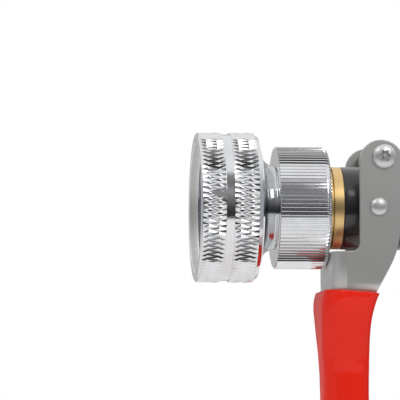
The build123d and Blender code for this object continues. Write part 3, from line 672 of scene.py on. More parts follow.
class NOZZLE_OT_pattern_head(bpy.types.Operator):
    """Turn the head and cut its two bands of diamond knurl"""

    bl_idname = "nozzle.pattern_head"
    bl_label = "Pattern head"

    def execute(self, context):
        sizes = context.scene.nozzle_sizes
        front = HEAD_LOW.x
        rear = HEAD_HIGH.x
        spans = (
            (front + FRONT_LAND, front + BAND_FROM - 0.1),
            (front + BAND_TO + 0.1, rear - REAR_BEVEL),
        )
        bands = [
            knurl_rows(*span, front + first, sizes.knurl_reach) for span, first in zip(spans, FIRST_ROWS)
        ]
        outline = [
            (front, RIM_BORE + 0.2),
            (front, HEAD_RADIUS - 0.75),
            (front + 0.15, HEAD_RADIUS - 0.6),
        ]
        outline += [(row[0], HEAD_RADIUS) for row in bands[0]]
        outline += [
            (front + BAND_FROM, HEAD_RADIUS - BAND_EDGE),
            (front + BAND_FROM, BAND_RADIUS),
            (front + BAND_TO, BAND_RADIUS),
            (front + BAND_TO, HEAD_RADIUS - BAND_EDGE),
        ]
        outline += [(row[0], HEAD_RADIUS) for row in bands[1]]
        outline += [
            (rear - REAR_BEVEL + 0.1, HEAD_RADIUS - 0.6),
            (rear - 0.25, HEAD_RADIUS - REAR_BEVEL + 0.05),
            (rear, HEAD_RADIUS - REAR_BEVEL - 0.2),
            (rear, HEAD_JOURNAL),
            (rear - BACK_WALL, HEAD_JOURNAL),
            (rear - BACK_WALL, HEAD_BORE),
            (front + RIM_DEPTH, HEAD_BORE),
            (front + RIM_DEPTH, RIM_BORE),
            (front + 0.2, RIM_BORE),
        ]
        columns = 2 * sizes.knurl_cells
        head = turned("head_ring_knurled", BARREL, outline, columns)
        edit(head)
        depth = sizes.knurl_depth / (1 - sizes.knurl_flat)
        apex = HEAD_RADIUS + sizes.knurl_flat * depth - KNURL_LOW
        for band in bands:
            for place, *sunk in band:
                for side in (0, 1):
                    self.sink(head, place, side, columns, apex - sunk[side] * depth)
        choose(
            head,
            "FACE",
            lambda face: BARREL.radius(face.calc_center_median()) > BAND_RADIUS
            and any(low < BARREL.distance(face.calc_center_median()) < high for low, high in spans),
        )
        bpy.ops.mesh.quads_convert_to_tris(quad_method="SHORTEST_DIAGONAL")
        choose(head, "VERT", lambda vertex: BARREL.radius(vertex.co) > apex - 0.01)
        bpy.ops.mesh.bevel(
            offset_type="PERCENT",
            offset_pct=100 * sizes.knurl_flat,
            affect="VERTICES",
            segments=1,
        )
        clear_bench()
        place_piece(head, "head", ["head_ring"], "knurled_chrome", 8.0)
        rim_end = front + RIM_DEPTH + 0.1
        self.line_bore(head, 1, "satin_chrome", front - 1, rim_end)
        # the deep stretch of the bore gets the darker chrome as painted shade of the recess
        self.line_bore(head, 2, "dark_chrome", rim_end, rear - BACK_WALL)
        self.pointer(front)
        return {"FINISHED"}

    def line_bore(self, head, slot, name, low, high):
        """Give one stretch of the bore a finish of its own."""
        head.data.materials.append(finish(name))
        edit(head)
        choose(
            head,
            "FACE",
            lambda face: BARREL.radius(face.calc_center_median()) < RIM_BORE + 0.3
            and low < BARREL.distance(face.calc_center_median()) < high,
        )
        head.active_material_index = slot
        bpy.ops.object.material_slot_assign()
        clear_bench()

    def sink(self, head, place, side, columns, radius):
        """Move every other vertex of one row to a radius, except under the pointer."""

        def member(vertex):
            if abs(BARREL.distance(vertex.co) - place) > 0.01:
                return False
            if abs(BARREL.radius(vertex.co) - HEAD_RADIUS) > 0.01:
                return False
            return round(BARREL.angle(vertex.co) / tau * columns) % 2 == side

        choose(head, "VERT", member)
        squeeze_to_barrel(radius / HEAD_RADIUS, place)
        choose(head, "VERT", lambda vertex: self.under_pointer(vertex.co, place))
        if radius > HEAD_RADIUS:
            squeeze_to_barrel((HEAD_RADIUS - UNDER_POINTER) / radius, place)

    def under_pointer(self, point, place):
        """Whether a vertex of a row stands where the pointer covers it."""
        front = HEAD_LOW.x
        reach = BAND_FROM - POINTER_TIP
        ahead = front + BAND_FROM - BARREL.distance(point)
        if abs(BARREL.distance(point) - place) > 0.01 or ahead > reach or ahead < 0:
            return False
        if BARREL.radius(point) < HEAD_RADIUS - 0.05:
            return False
        side = (BARREL.angle(point) - POINTER_CENTRE) * HEAD_RADIUS
        return abs(side) < POINTER_HALF * (1 - ahead / reach) + 0.5

    def pointer(self, front):
        """Add the plain pointer that stands in the front band."""
        clear_bench()
        height = HEAD_RADIUS - POINTER_ROOT
        bpy.ops.mesh.primitive_circle_add(vertices=3, radius=MM, fill_type="NGON")
        pointer = settle("head_pointer")
        edit(pointer)
        corners = [
            (front + POINTER_TIP, 0.0),
            (front + BAND_FROM, POINTER_HALF),
            (front + BAND_FROM, -POINTER_HALF),
        ]
        shape = bmesh.from_edit_mesh(pointer.data)
        shape.verts.ensure_lookup_table()
        tilt = radians(POINTER_ANGLE)
        outward = Vector((0, -cos(tilt), sin(tilt)))
        across = Vector((0, sin(tilt), cos(tilt)))
        centre = Vector((0, 0, AXIS_Z))
        for vertex, (x, side) in zip(shape.verts, corners):
            vertex.co = (centre + Vector((x, 0, 0)) + outward * height + across * side) * MM
        bmesh.update_edit_mesh(pointer.data)
        bpy.ops.mesh.select_all(action="SELECT")
        bpy.ops.mesh.extrude_region_move(
            TRANSFORM_OT_translate={"value": outward * (POINTER_ROOT - POINTER_TOP) * MM}
        )
        weld()
        clear_bench()
        soften(pointer, 0.12, 20)
        shade(pointer)
        pointer.data.materials.append(finish("polished_chrome"))
        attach(pointer, "head")


# ---------------------------------------------------------------- flow ring
FLOW_JOURNAL = 15.45
FLOW_CHAMBER = 18.25
FLOW_WEB = 4.2
FLOW_ROUND = 2.0
ARC_STEPS = 5


class NOZZLE_OT_flow_ring(bpy.types.Operator):
    """Turn the flow ring and cut its straight ridges"""

    bl_idname = "nozzle.flow_ring"
    bl_label = "Flow ring"

    def execute(self, context):
        sizes = context.scene.nozzle_sizes
        front = FLOW_LOW.x
        rear = FLOW_HIGH.x
        outline = [
            (front, FLOW_JOURNAL),
            (front, FLOW_RADIUS - 0.3),
            (front + 0.2, FLOW_RADIUS),
        ]
        for step in range(ARC_STEPS + 1):
            turn = step / ARC_STEPS * pi / 2
            across, out = FLOW_ROUND * sin(turn), FLOW_ROUND * cos(turn)
            outline.append((rear - FLOW_ROUND + across, FLOW_RADIUS - FLOW_ROUND + out))
        outline += [
            (rear, FLOW_CHAMBER),
            (front + FLOW_WEB, FLOW_CHAMBER),
            (front + FLOW_WEB, FLOW_JOURNAL),
        ]
        columns = 4 * sizes.ridges
        ring = turned("flow_ring_ridged", BARREL, outline, columns)
        edit(ring)

        def in_groove(vertex):
            column = round(BARREL.angle(vertex.co) / tau * columns) % 4
            return column in (2, 3) and BARREL.radius(vertex.co) > FLOW_RADIUS - FLOW_ROUND * 0.6

        choose(ring, "VERT", in_groove)
        squeeze_to_barrel((FLOW_RADIUS - sizes.ridge_depth) / FLOW_RADIUS, front)
        clear_bench()
        place_piece(ring, "flow_selector", ["flow_ring"], "knurled_chrome", 24.0)
        return {"FINISHED"}


# ---------------------------------------------------------------- neck
# the polished curve, from the rear of the neck forwards
NECK_CONE = (
    (0, 16.8), (-0.5, 16.95), (-0.62, 16.45), (-0.95, 16.45), (-1.05, 17.0), (-1.9, 17.25),
    (-2.8, 17.75), (-3.7, 18.45), (-4.5, 19.4), (-5.1, 20.6), (-5.5, 22.0), (-5.75, 23.3), (-5.9, 24.0),
)


class NOZZLE_OT_neck(bpy.types.Operator):
    """Turn the polished neck between the head and the flow ring"""

    bl_idname = "nozzle.neck"
    bl_label = "Neck"

    def execute(self, context):
        softness = context.scene.nozzle_sizes.edge_softness
        front = HEAD_HIGH.x + 0.3
        rear = FLOW_LOW.x - 0.3
        back = NECK_HIGH.x
        lead = NECK_LOW.x
        outline = measured_from(rear, NECK_CONE) + [
            (front, 24.0),
            (front, 19.6),
            (front - 3.7, 19.6),
            (front - 3.7, 15.0),
            (lead, 15.0),
            (lead, 11.02),
            (back, 11.02),
            (back, 13.88),
            (back - 1.0, 13.88),
            (back - 1.0, 15.4),
            (rear, 15.4),
        ]
        neck = turned("neck_polished", BARREL, outline, 160)
        soften(neck, softness * 0.4, 50)
        place_piece(neck, "body", ["neck_cone"], "polished_chrome", 40.0)
        return {"FINISHED"}


# ---------------------------------------------------------------- brass bush
class NOZZLE_OT_brass_bush(bpy.types.Operator):
    """Turn the brass bush whose ring shows behind the flow ring"""

    bl_idname = "nozzle.brass_bush"
    bl_label = "Brass bush"

    def execute(self, context):
        softness = context.scene.nozzle_sizes.edge_softness
        front = BUSH_LOW.x
        ring = BARREL_FRONT
        lip = ring - 5.2
        seat = FLOW_HIGH.x - 2.4
        spigot = BUSH_HIGH.x
        outline = [(front, 18.2), (front + 6.4, 18.2), (front + 6.4, 15.2)]
        outline += [(lip, 15.2), (lip, 16.2), (lip + 0.9, 16.2), (lip + 0.95, 15.2)]
        outline += measured_from(ring, ((-3.85, 15.2), (-3.8, 16.5), (0, 16.5), (0, 13.6)))
        outline += measured_from(ring, ((4.13, 13.6), (4.13, 11.7), (6.07, 11.7), (6.07, 13.6)))
        outline += [(spigot, 13.6), (spigot, 10.5)]
        outline += measured_from(seat, ((3.2, 10.5), (3.2, 7.5), (2.4, 7.5), (2.4, 9.02)))
        outline += [(seat, 9.02), (seat, 11.02), (front, 11.02)]
        bush = turned("brass_bush_turned", BARREL, outline, 144)
        soften(bush, softness, 50)
        place_piece(bush, "body", ["brass_bush"], "turned_brass")
        return {"FINISHED"}


# ---------------------------------------------------------------- valve body and rear cap
BARREL_RADIUS = 16.6
BORE = 12.0
HUB_RADIUS = 15.0
HUB_LENGTH = 25.0
COLUMN_RADIUS = 12.0
COLUMN_END = GRIP_LENGTH - 26.0
BOSS_RADIUS = 5.6
BOSS_HALF = 18.4
CAST_VOXEL = 0.6
WATER_WAY = 7.2
NIPPLE_BORE = 9.02
NIPPLE_SCREWED = 12.0
BUSH_BORE = 3.52
SPIGOT_BORE = 13.62
SPIGOT_DEPTH = 10.2
PIN_STROKE = 6.3
PIN_ROOM = 2.3             # half height of the pin's slot


class NOZZLE_OT_valve_body(bpy.types.Operator):
    """Cast the valve body and bore it"""

    bl_idname = "nozzle.valve_body"
    bl_label = "Valve body"

    def execute(self, context):
        solids = [
            rod("barrel", BARREL, BARREL_FRONT, BARREL_REAR, BARREL_RADIUS, 128),
            rod("hub", GRIP, 0, HUB_LENGTH, HUB_RADIUS, 96),
            rod("column", GRIP, 0, COLUMN_END, COLUMN_RADIUS, 96),
            rod("boss", PIVOT, -BOSS_HALF, BOSS_HALF, BOSS_RADIUS, 64),
        ]
        middle = (PIVOT_X, 0, (AXIS_Z + PIVOT_Z) / 2)
        size = (2 * BOSS_RADIUS, BARREL_RADIUS * 1.5, PIVOT_Z - AXIS_Z)
        solids.append(slab("boss_root", middle, size))
        body = joined("valve_body_cast", solids)
        flow_together(body, CAST_VOXEL, 10)
        cut(body, rod("bore", BARREL, BARREL_FRONT - 5, BARREL_REAR + 5, BORE, 96))
        spigot_end = BARREL_FRONT + SPIGOT_DEPTH
        cut(body, rod("spigot_bore", BARREL, BARREL_FRONT - 5, spigot_end, SPIGOT_BORE, 96))
        cut(body, rod("water_way", GRIP, 0, GRIP_LENGTH, WATER_WAY, 64))
        cut(body, rod("nipple_bore", GRIP, COLUMN_END - NIPPLE_SCREWED, GRIP_LENGTH, NIPPLE_BORE, 64))
        cut(body, rod("bush_bore", PIVOT, -25, 25, BUSH_BORE, 48))
        self.pin_slot(body)
        place_piece(body, "body", ["valve_body"], "powder_coating", 40.0)
        return {"FINISHED"}

    def pin_slot(self, body):
        """Cut the slot in which the cross pin travels."""
        slot = slab(
            "pin_slot",
            (PIN_X + PIN_STROKE / 2, 0, PIN_Z + 0.15),
            (PIN_STROKE + 2 * PIN_ROOM, 60, 2 * PIN_ROOM + 0.5),
        )
        edit(slot)
        choose(
            slot,
            "EDGE",
            lambda edge: abs((edge.verts[0].co - edge.verts[1].co).normalized().y) > 0.9,
        )
        bpy.ops.mesh.bevel(offset=1.9 * MM, segments=6, affect="EDGES")
        clear_bench()
        cut(body, slot)


class NOZZLE_OT_rear_cap(bpy.types.Operator):
    """Turn the screwed cap behind the barrel and cut its socket"""

    bl_idname = "nozzle.rear_cap"
    bl_label = "Rear cap"

    def execute(self, context):
        softness = context.scene.nozzle_sizes.edge_softness
        front = CAP_LOW.x
        face = BARREL_REAR
        rear = CAP_HIGH.x
        outline = [(face - 2.0, 0), (face - 2.0, 9.7), (front, 9.7), (front, 11.98)]
        outline += measured_from(face, ((-5.47, 11.98), (-5.47, 10.1), (-3.53, 10.1), (-3.53, 11.98)))
        outline += [
            (face, 11.98),
            (face, BARREL_RADIUS - 0.5),
            (face + 0.4, BARREL_RADIUS),
            (face + 2.2, BARREL_RADIUS),
            (face + 2.5, BARREL_RADIUS - 0.5),
            (face + 3.1, BARREL_RADIUS - 0.5),
            (face + 3.4, BARREL_RADIUS),
            (rear - 1.5, BARREL_RADIUS),
            (rear, BARREL_RADIUS - 1.5),
            (rear, 9.2),
            (rear - 0.5, 8.6),
            (rear - 0.5, 0),
        ]
        cap = turned("rear_cap_turned", BARREL, outline, 128, ring=False)
        cut(cap, rod("socket", BARREL, rear - 4.0, rear + 2, 8.0 / sqrt(3), 6))
        soften(cap, softness, 40)
        place_piece(cap, "body", ["rear_cap"], "powder_coating")
        return {"FINISHED"}


# ---------------------------------------------------------------- hand grip
COVER_TOP = 26.0
COVER_BOTTOM = GRIP_LENGTH - 29.0
COVER_DEPTH = 33.0
COVER_WIDTH = 29.0
RIB_PITCH = 4.6
FINGER_PITCH = 19.0
FINGER_RADIUS = 14.0
FINGER_SINK = 2.2


class NOZZLE_OT_hand_grip(bpy.types.Operator):
    """Mould the ribbed rubber cover of the hand grip"""

    bl_idname = "nozzle.hand_grip"
    bl_label = "Hand grip"

    def execute(self, context):
        depth = context.scene.nozzle_sizes.rib_depth
        clear_bench()
        bpy.ops.mesh.primitive_circle_add(
            vertices=96,
            radius=MM,
            fill_type="NGON",
            location=GRIP.place(COVER_TOP),
            rotation=GRIP.turn,
        )
        bpy.context.object.scale = (COVER_DEPTH / 2 - 3, COVER_WIDTH / 2 - 3, 1)
        cover = settle("grip_cover_ribbed")
        levels = [(0.3, -1.6), (1.0, -0.7), (2.0, -0.15), (3.2, 0.0)]
        length = COVER_BOTTOM - COVER_TOP
        rib = 5.0
        while rib + RIB_PITCH < length - 4:
            levels += [
                (rib, 0.0),
                (rib + 0.5, -depth * 0.8),
                (rib + 0.9, -depth),
                (rib + 1.3, -depth * 0.8),
                (rib + 1.8, 0.0),
            ]
            rib += RIB_PITCH
        levels += [
            (length - 3.2, 0.0),
            (length - 2.0, -0.15),
            (length - 1.0, -0.7),
            (length - 0.3, -1.6),
            (length, -3.0),
        ]
        edit(cover)
        bpy.ops.mesh.select_all(action="SELECT")
        was_down, was_grow = 0.0, -3.0
        half = (COVER_DEPTH + COVER_WIDTH) / 4
        for down, grow in levels:
            bpy.ops.mesh.extrude_region_move(
                TRANSFORM_OT_translate={"value": GRIP.along * (down - was_down) * MM}
            )
            size = (half + grow) / (half + was_grow)
            bpy.ops.transform.resize(
                value=(size, size, size), center_override=GRIP.place(COVER_TOP + down)
            )
            was_down, was_grow = down, grow
        weld()
        clear_bench()
        middle = (COVER_TOP + COVER_BOTTOM) / 2
        for finger in (-1, 0, 1):
            down = middle + finger * FINGER_PITCH
            ahead = -COVER_DEPTH / 2 - FINGER_RADIUS + FINGER_SINK
            centre = GRIP.place(down, ahead)
            clear_bench()
            bpy.ops.mesh.primitive_uv_sphere_add(
                segments=64, ring_count=32, radius=FINGER_RADIUS * MM, location=centre
            )
            bpy.context.object.scale = (1, 2.6, 1)
            cut(cover, settle("finger"))
        cut(cover, rod("column_room", GRIP, 0, GRIP_LENGTH, COLUMN_RADIUS + 0.02, 96))
        soften(cover, 0.5, 45, 3)
        place_piece(cover, "body", ["grip_cover"], "hand_rubber", 50.0)
        return {"FINISHED"}


# ---------------------------------------------------------------- hose inlet
INLET_NUT_TOP = GRIP_LENGTH - 19.4
THREAD_RADIUS = 12.06
THREAD_DEPTH = 0.8
THREAD_PITCH = 1.81
THREAD_TOP = GRIP_LENGTH - 11.0
NUT_ACROSS = 32.0
NUT_LIP = 4.0
NECK_RADIUS = 9.0
NIPPLE_BORE_RADIUS = 6.8
NIPPLE_HEX = 25.0
NIPPLE_HEX_LENGTH = 4.5
FLANGE_RADIUS = 11.76
FLANGE_THICKNESS = 2.2


class NOZZLE_OT_hose_inlet(bpy.types.Operator):
    """Make the swivel nut with its thread, and the nipple that holds it"""

    bl_idname = "nozzle.hose_inlet"
    bl_label = "Hose inlet"

    def execute(self, context):
        softness = context.scene.nozzle_sizes.edge_softness
        nut = hexagon("swivel_nut_hexagon", GRIP, INLET_NUT_TOP, GRIP_LENGTH, NUT_ACROSS, 1.7)
        cut(nut, rod("nipple_room", GRIP, INLET_NUT_TOP - 5, GRIP_LENGTH + 5, NECK_RADIUS + 0.1, 64))
        threads = [
            (INLET_NUT_TOP + NUT_LIP, 0),
            (INLET_NUT_TOP + NUT_LIP, THREAD_RADIUS + 0.5),
            (THREAD_TOP, THREAD_RADIUS + 0.5),
        ]
        turn = THREAD_TOP
        while turn + THREAD_PITCH < GRIP_LENGTH:
            threads.append((turn + 0.15, THREAD_RADIUS))
            threads.append((turn + THREAD_PITCH / 2, THREAD_RADIUS + THREAD_DEPTH))
            turn += THREAD_PITCH
        threads += [
            (GRIP_LENGTH - 0.8, THREAD_RADIUS),
            (GRIP_LENGTH + 0.2, THREAD_RADIUS + 1.0),
            (GRIP_LENGTH + 0.2, 0),
        ]
        cut(nut, turned("thread_room", GRIP, threads, 96, ring=False))
        soften(nut, softness, 40)
        place_piece(nut, "inlet_nut", ["swivel_nut"], "plain_brass")

        top = COLUMN_END - NIPPLE_SCREWED
        neck = COLUMN_END + NIPPLE_HEX_LENGTH
        flange = INLET_NUT_TOP + NUT_LIP + 0.3
        nipple = turned(
            "inlet_nipple_turned",
            GRIP,
            (
                (top, NIPPLE_BORE_RADIUS),
                (top, NECK_RADIUS),
                (flange, NECK_RADIUS),
                (flange, FLANGE_RADIUS),
                (flange + FLANGE_THICKNESS, FLANGE_RADIUS),
                (flange + FLANGE_THICKNESS, NIPPLE_BORE_RADIUS),
            ),
            96,
        )
        collar = hexagon("nipple_hexagon", GRIP, COLUMN_END, neck, NIPPLE_HEX, 0.9)
        cut(collar, rod("nipple_bore", GRIP, COLUMN_END - 2, neck + 2, 8.0, 64))
        cut(nipple, collar, "UNION")
        soften(nipple, softness, 40)
        place_piece(nipple, "body", ["inlet_nipple"], "plain_brass")
        return {"FINISHED"}


# ---------------------------------------------------------------- trigger lever
COAT_VOXEL = 0.55


class NOZZLE_OT_trigger_lever(bpy.types.Operator):
    """Copy the folded lever of brushed sheet from the frame and round its edges"""

    bl_idname = "nozzle.trigger_lever"
    bl_label = "Trigger lever"

    def execute(self, context):
        lever = welded_copy("trigger_lever", "trigger_lever_sheet")
        soften(lever, context.scene.nozzle_sizes.sheet_edge, 40)
        place_piece(lever, "trigger", ["trigger_lever"], "brushed_stainless")
        return {"FINISHED"}


# down from the pivot: place, half width, how far the front stands ahead, how far back it reaches
COAT_SECTIONS = (
    (46.0, 24.4, 0.0, 1.6),
    (52.8, 24.3, 0.2, -0.9),
    (56.0, 24.0, 1.1, -2.5),
    (60.0, 23.0, 1.3, -3.7),
    (64.0, 21.6, 1.0, -4.5),
    (68.0, 20.1, 0.8, -4.8),
    (73.0, 18.4, 0.5, -4.9),
    (79.0, 16.8, 0.1, -4.9),
    (86.0, 15.8, -0.4, -4.9),
    (95.0, 15.4, -0.6, -4.9),
    (110.0, 15.4, -0.5, -4.9),
    (124.0, 15.3, -0.4, -4.9),
    (133.4, 15.0, -0.3, -5.0),
)
COAT_FRONT = -23.0         # front of the coat, seen from the pivot
COAT_WALL = 7.3            # coat, sheet and coat again
COAT_ROUND = 11.2          # front corners, outside
COAT_INNER_ROUND = 2.0     # front corners, inside
COAT_BACK_ROUND = 3.6
COAT_RIM = 52.4            # rim at the front, below the pivot
COAT_RIM_SLOPE = radians(5)
OPEN_BEHIND = 12.0         # how far the room for the sheet runs out of the coat
OPEN_BELOW = 5.0
SWELL_SIZE = 14.0


class NOZZLE_OT_lever_coat(bpy.types.Operator):
    """Dip the lower half of the lever in vinyl"""

    bl_idname = "nozzle.lever_coat"
    bl_label = "Lever coat"

    def execute(self, context):
        coat = self.sleeve("lever_coat_dipped", 0.0, COAT_ROUND, 0.0)
        edit(coat)
        bpy.ops.mesh.select_all(action="SELECT")
        bpy.ops.mesh.bisect(
            plane_co=Vector((PIVOT_X + COAT_FRONT, 0, PIVOT_Z - COAT_RIM)) * MM,
            plane_no=(sin(COAT_RIM_SLOPE), 0, cos(COAT_RIM_SLOPE)),
            use_fill=True,
            clear_outer=True,
        )
        clear_bench()
        cut(coat, self.sleeve("finger_room", COAT_WALL, COAT_INNER_ROUND, OPEN_BEHIND))
        flow_together(coat, COAT_VOXEL, 16)
        swell = bpy.data.textures.new("coat_swell", "CLOUDS")
        swell.noise_scale = SWELL_SIZE * MM
        apply_modifier(
            coat,
            "DISPLACE",
            texture=swell,
            texture_coords="GLOBAL",
            strength=context.scene.nozzle_sizes.coat_swell * MM,
            mid_level=0.62,
        )
        place_piece(coat, "trigger", ["lever_grip"], "dipped_vinyl", 60.0)
        return {"FINISHED"}

    def sleeve(self, name, inset, front_round, behind):
        """A block that follows the lever's sections, drawn in by a wall and run out behind."""
        top, half, _, reach = COAT_SECTIONS[0]
        low = COAT_SECTIONS[-1][0]
        middle = PIVOT_X + (COAT_FRONT + reach) / 2
        block = slab(
            name, (middle, 0, PIVOT_Z - (top + low) / 2), (reach - COAT_FRONT, 2 * half, low - top)
        )
        edit(block)
        for forward, radius in ((True, front_round), (False, COAT_BACK_ROUND)):
            choose(
                block,
                "EDGE",
                lambda edge: abs((edge.verts[0].co - edge.verts[1].co).z) > 10 * MM
                and (edge.verts[0].co.x / MM < middle) == forward
                and abs(edge.verts[0].co.y / MM) > half - 0.1,
            )
            bpy.ops.mesh.bevel(offset=radius * MM, segments=8, affect="EDGES")
        for section in COAT_SECTIONS[1:-1]:
            bpy.ops.mesh.select_all(action="SELECT")
            bpy.ops.mesh.bisect(
                plane_co=Vector((PIVOT_X, 0, PIVOT_Z - section[0])) * MM, plane_no=(0, 0, 1)
            )
        for down, width, ahead, back in COAT_SECTIONS:
            level = PIVOT_Z - down
            for forward, shift in ((True, inset - ahead), (False, back - reach + behind)):
                for side in (-1, 1):
                    choose(
                        block,
                        "VERT",
                        lambda vertex: abs(vertex.co.z / MM - level) < 0.01
                        and (vertex.co.x / MM < middle) == forward
                        and vertex.co.y * side > 0,
                    )
                    move = Vector((shift, side * (width - inset - half), 0))
                    bpy.ops.transform.translate(value=move * MM)
        if inset:
            choose(block, "VERT", lambda vertex: vertex.co.z / MM < PIVOT_Z - low + 0.01)
            bpy.ops.transform.translate(value=(0, 0, -OPEN_BELOW * MM))
        clear_bench()
        return block


def dome(face, height, radius, edge, steps=8):
    """Points of a domed head that stands off a face: out along it, then over to its top."""
    brim = copysign(edge, height)
    lift = height - brim
    points = [(face, radius - 0.25), (face + brim / 2, radius)]
    for step in range(steps + 1):
        turn = step / steps * pi / 2
        points.append((face + brim + lift * sin(turn), radius * cos(turn)))
    return points


BOLT_RADIUS = 2.5
BOLT_HEAD_RADIUS = 4.75
RIVET_RADIUS = 3.5
RECESS_DEPTH = 1.7
LOBES = 6
LOBE_CIRCLE = 1.75
LOBE_RADIUS = 0.66
# (down from the head's top, radius) of the stud in the recess
RECESS_STUD = ((1.8, 0), (1.8, 0.6), (0.55, 0.55), (0.3, 0.3), (0.22, 0))


class NOZZLE_OT_lever_fasteners(bpy.types.Operator):
    """Make the pivot screw, its nut and the domed cross pin"""

    bl_idname = "nozzle.lever_fasteners"
    bl_label = "Lever fasteners"

    def execute(self, context):
        softness = context.scene.nozzle_sizes.edge_softness
        near = NUT_LOW.y
        head_top = BOLT_LOW.y
        end = BOLT_HIGH.y
        outline = [(end, 0), (end, BOLT_RADIUS - 0.4), (end - 0.4, BOLT_RADIUS), (-near, BOLT_RADIUS)]
        outline += dome(-near, head_top + near, BOLT_HEAD_RADIUS, 0.5)
        screw = turned("pivot_screw", PIVOT, outline, 72, ring=False)
        floor = head_top + RECESS_DEPTH
        cut(screw, rod("recess", PIVOT, head_top - 1, floor, 1.8, 48))
        for lobe in range(LOBES):
            turn = (lobe + 0.5) / LOBES * tau
            spot = Spindle(
                (PIVOT_X + LOBE_CIRCLE * sin(turn), 0, PIVOT_Z + LOBE_CIRCLE * cos(turn)),
                PIVOT.along,
                PIVOT.out,
                PIVOT.turn,
            )
            cut(screw, rod("lobe", spot, head_top - 1, floor, LOBE_RADIUS, 20))
        stud = measured_from(head_top, RECESS_STUD)
        cut(screw, turned("recess_stud", PIVOT, stud, 24, ring=False), "UNION")
        soften(screw, softness * 0.7, 35)
        place_piece(screw, "trigger", ["pivot_bolt"], "fastener_steel")

        nut = hexagon("pivot_nut_hexagon", PIVOT, NUT_LOW.y, NUT_HIGH.y, 8.0, 0.5)
        cut(nut, rod("nut_bore", PIVOT, NUT_LOW.y - 1, NUT_HIGH.y + 1, 2.52, 48))
        soften(nut, softness * 0.7, 40)
        place_piece(nut, "trigger", ["pivot_nut"], "fastener_steel")

        tall = PIN_HIGH.y - near
        outline = list(reversed(dome(near, tall, RIVET_RADIUS, 0.3)))
        outline += [(near, 2.0), (-near, 2.0)]
        outline += dome(-near, -tall, RIVET_RADIUS, 0.3)
        pin = turned("cross_pin_domed", CROSS_PIN, outline, 72, ring=False)
        place_piece(pin, "trigger", ["drive_pin"], "fastener_steel", 40.0)
        return {"FINISHED"}


# ---------------------------------------------------------------- inner pieces
# the rim of the baffle and its face, from the front
BAFFLE_RIM = (
    (1.6, 10.3), (1.1, 10.6), (0.4, 10.6), (0, 10.2), (0, 9.0), (0.5, 8.4),
    (0.8, 7.0), (0.8, 4.6), (0.2, 4.4), (0, 4.0), (0, 0),
)


class NOZZLE_OT_baffle(bpy.types.Operator):
    """Turn the baffle that stands in the mouth, and slot its screw"""

    bl_idname = "nozzle.baffle"
    bl_label = "Baffle"

    def execute(self, context):
        softness = context.scene.nozzle_sizes.edge_softness
        front = BAFFLE_LOW.x
        rear = BAFFLE_HIGH.x
        outline = [(front + 2.0, 0), (front + 2.0, 3.02), (rear, 3.02), (rear, 5.0)]
        outline += measured_from(front, BAFFLE_RIM)
        baffle = turned("baffle_turned", BARREL, outline, 96, ring=False)
        cut(baffle, slab("screw_slot", (front, 0, AXIS_Z), (1.6, 10.0, 1.2)))
        soften(baffle, softness, 45)
        place_piece(baffle, "baffle_stem", ["baffle"], "turned_brass")
        return {"FINISHED"}


CARRIED_OVER = {
    "dark_chrome": ("shaper_sleeve",),
    "turned_brass": ("shuttle", "valve_disc", "nozzle_tube", "stem_guide", "stem_slider", "head_retainer"),
    "fastener_steel": ("valve_stem", "baffle_stem", "stem_cross_pin", "guide_pins", "inlet_strainer"),
    "spring_steel": ("return_spring", "flow_ring_clip"),
    "seal_rubber": ("inlet_washer", "rear_cap_seal", "bush_seal", "shuttle_rings", "valve_seal"),
    "sintered_bronze": ("pivot_bushes",),
    "white_plastic": ("seat_ring",),
}


class NOZZLE_OT_inner_finishes(bpy.types.Operator):
    """Give the pieces carried over from the frame their finishes"""

    bl_idname = "nozzle.inner_finishes"
    bl_label = "Inner finishes"

    def execute(self, context):
        for name, nodes in CARRIED_OVER.items():
            for node in nodes:
                materials = frame["nodes"][node].data.materials
                materials.clear()
                materials.append(finish(name))
        return {"FINISHED"}


# ---------------------------------------------------------------- stage
AIM = Vector((HEAD_LOW.x + 1.9, 0, AXIS_Z + 3.0)) * MM
SENSOR = 36.0
FLOOR_RADIUS = 0.36
FLOOR_FADE = (0.315, 0.355)
FLOOR_DROP = 0.0005
FLOOR_CENTRE = Vector((AIM.x + 0.05, 0, FRAME_BOUNDS[0][2] - FLOOR_DROP))
SIDE_LIGHT = (0.42, 0.43, 0.46, 1)     # what metal reflects of the room to the left and right
SIDE_FADE = (0.8, 0.97)
KEY_PLACE = (-0.5, -0.6, 0.75)         # lamps, from the aim
KEY_SIZE = 0.12
LEVER_LIGHT_PLACE = (0.17, -0.25, 0.2)
LEVER_LIGHT_SIZE = 0.16

# brightness of the room that metal reflects, by degrees above the horizon on the viewer's side
ROOM_LIGHT = (
    (-180, 0.5),
    (-165, 0.5),
    (-150, 0.85),
    (-60, 0.85),
    (-22, 0.78),
    (-19.5, 0.02),
    (-10, 0.03),
    (-3, 0.07),
    (10, 0.2),
    (22, 0.34),
    (35, 0.17),
    (48, 0.28),
    (56, 1.0),
    (150, 0.95),
    (165, 0.5),
    (180, 0.5),
)


def look_at(thing, place, target):
    """Put a camera or lamp at a place, turned towards a target."""
    thing.location = place
    thing.rotation_euler = (Vector(target) - Vector(place)).to_track_quat("-Z", "Y").to_euler()


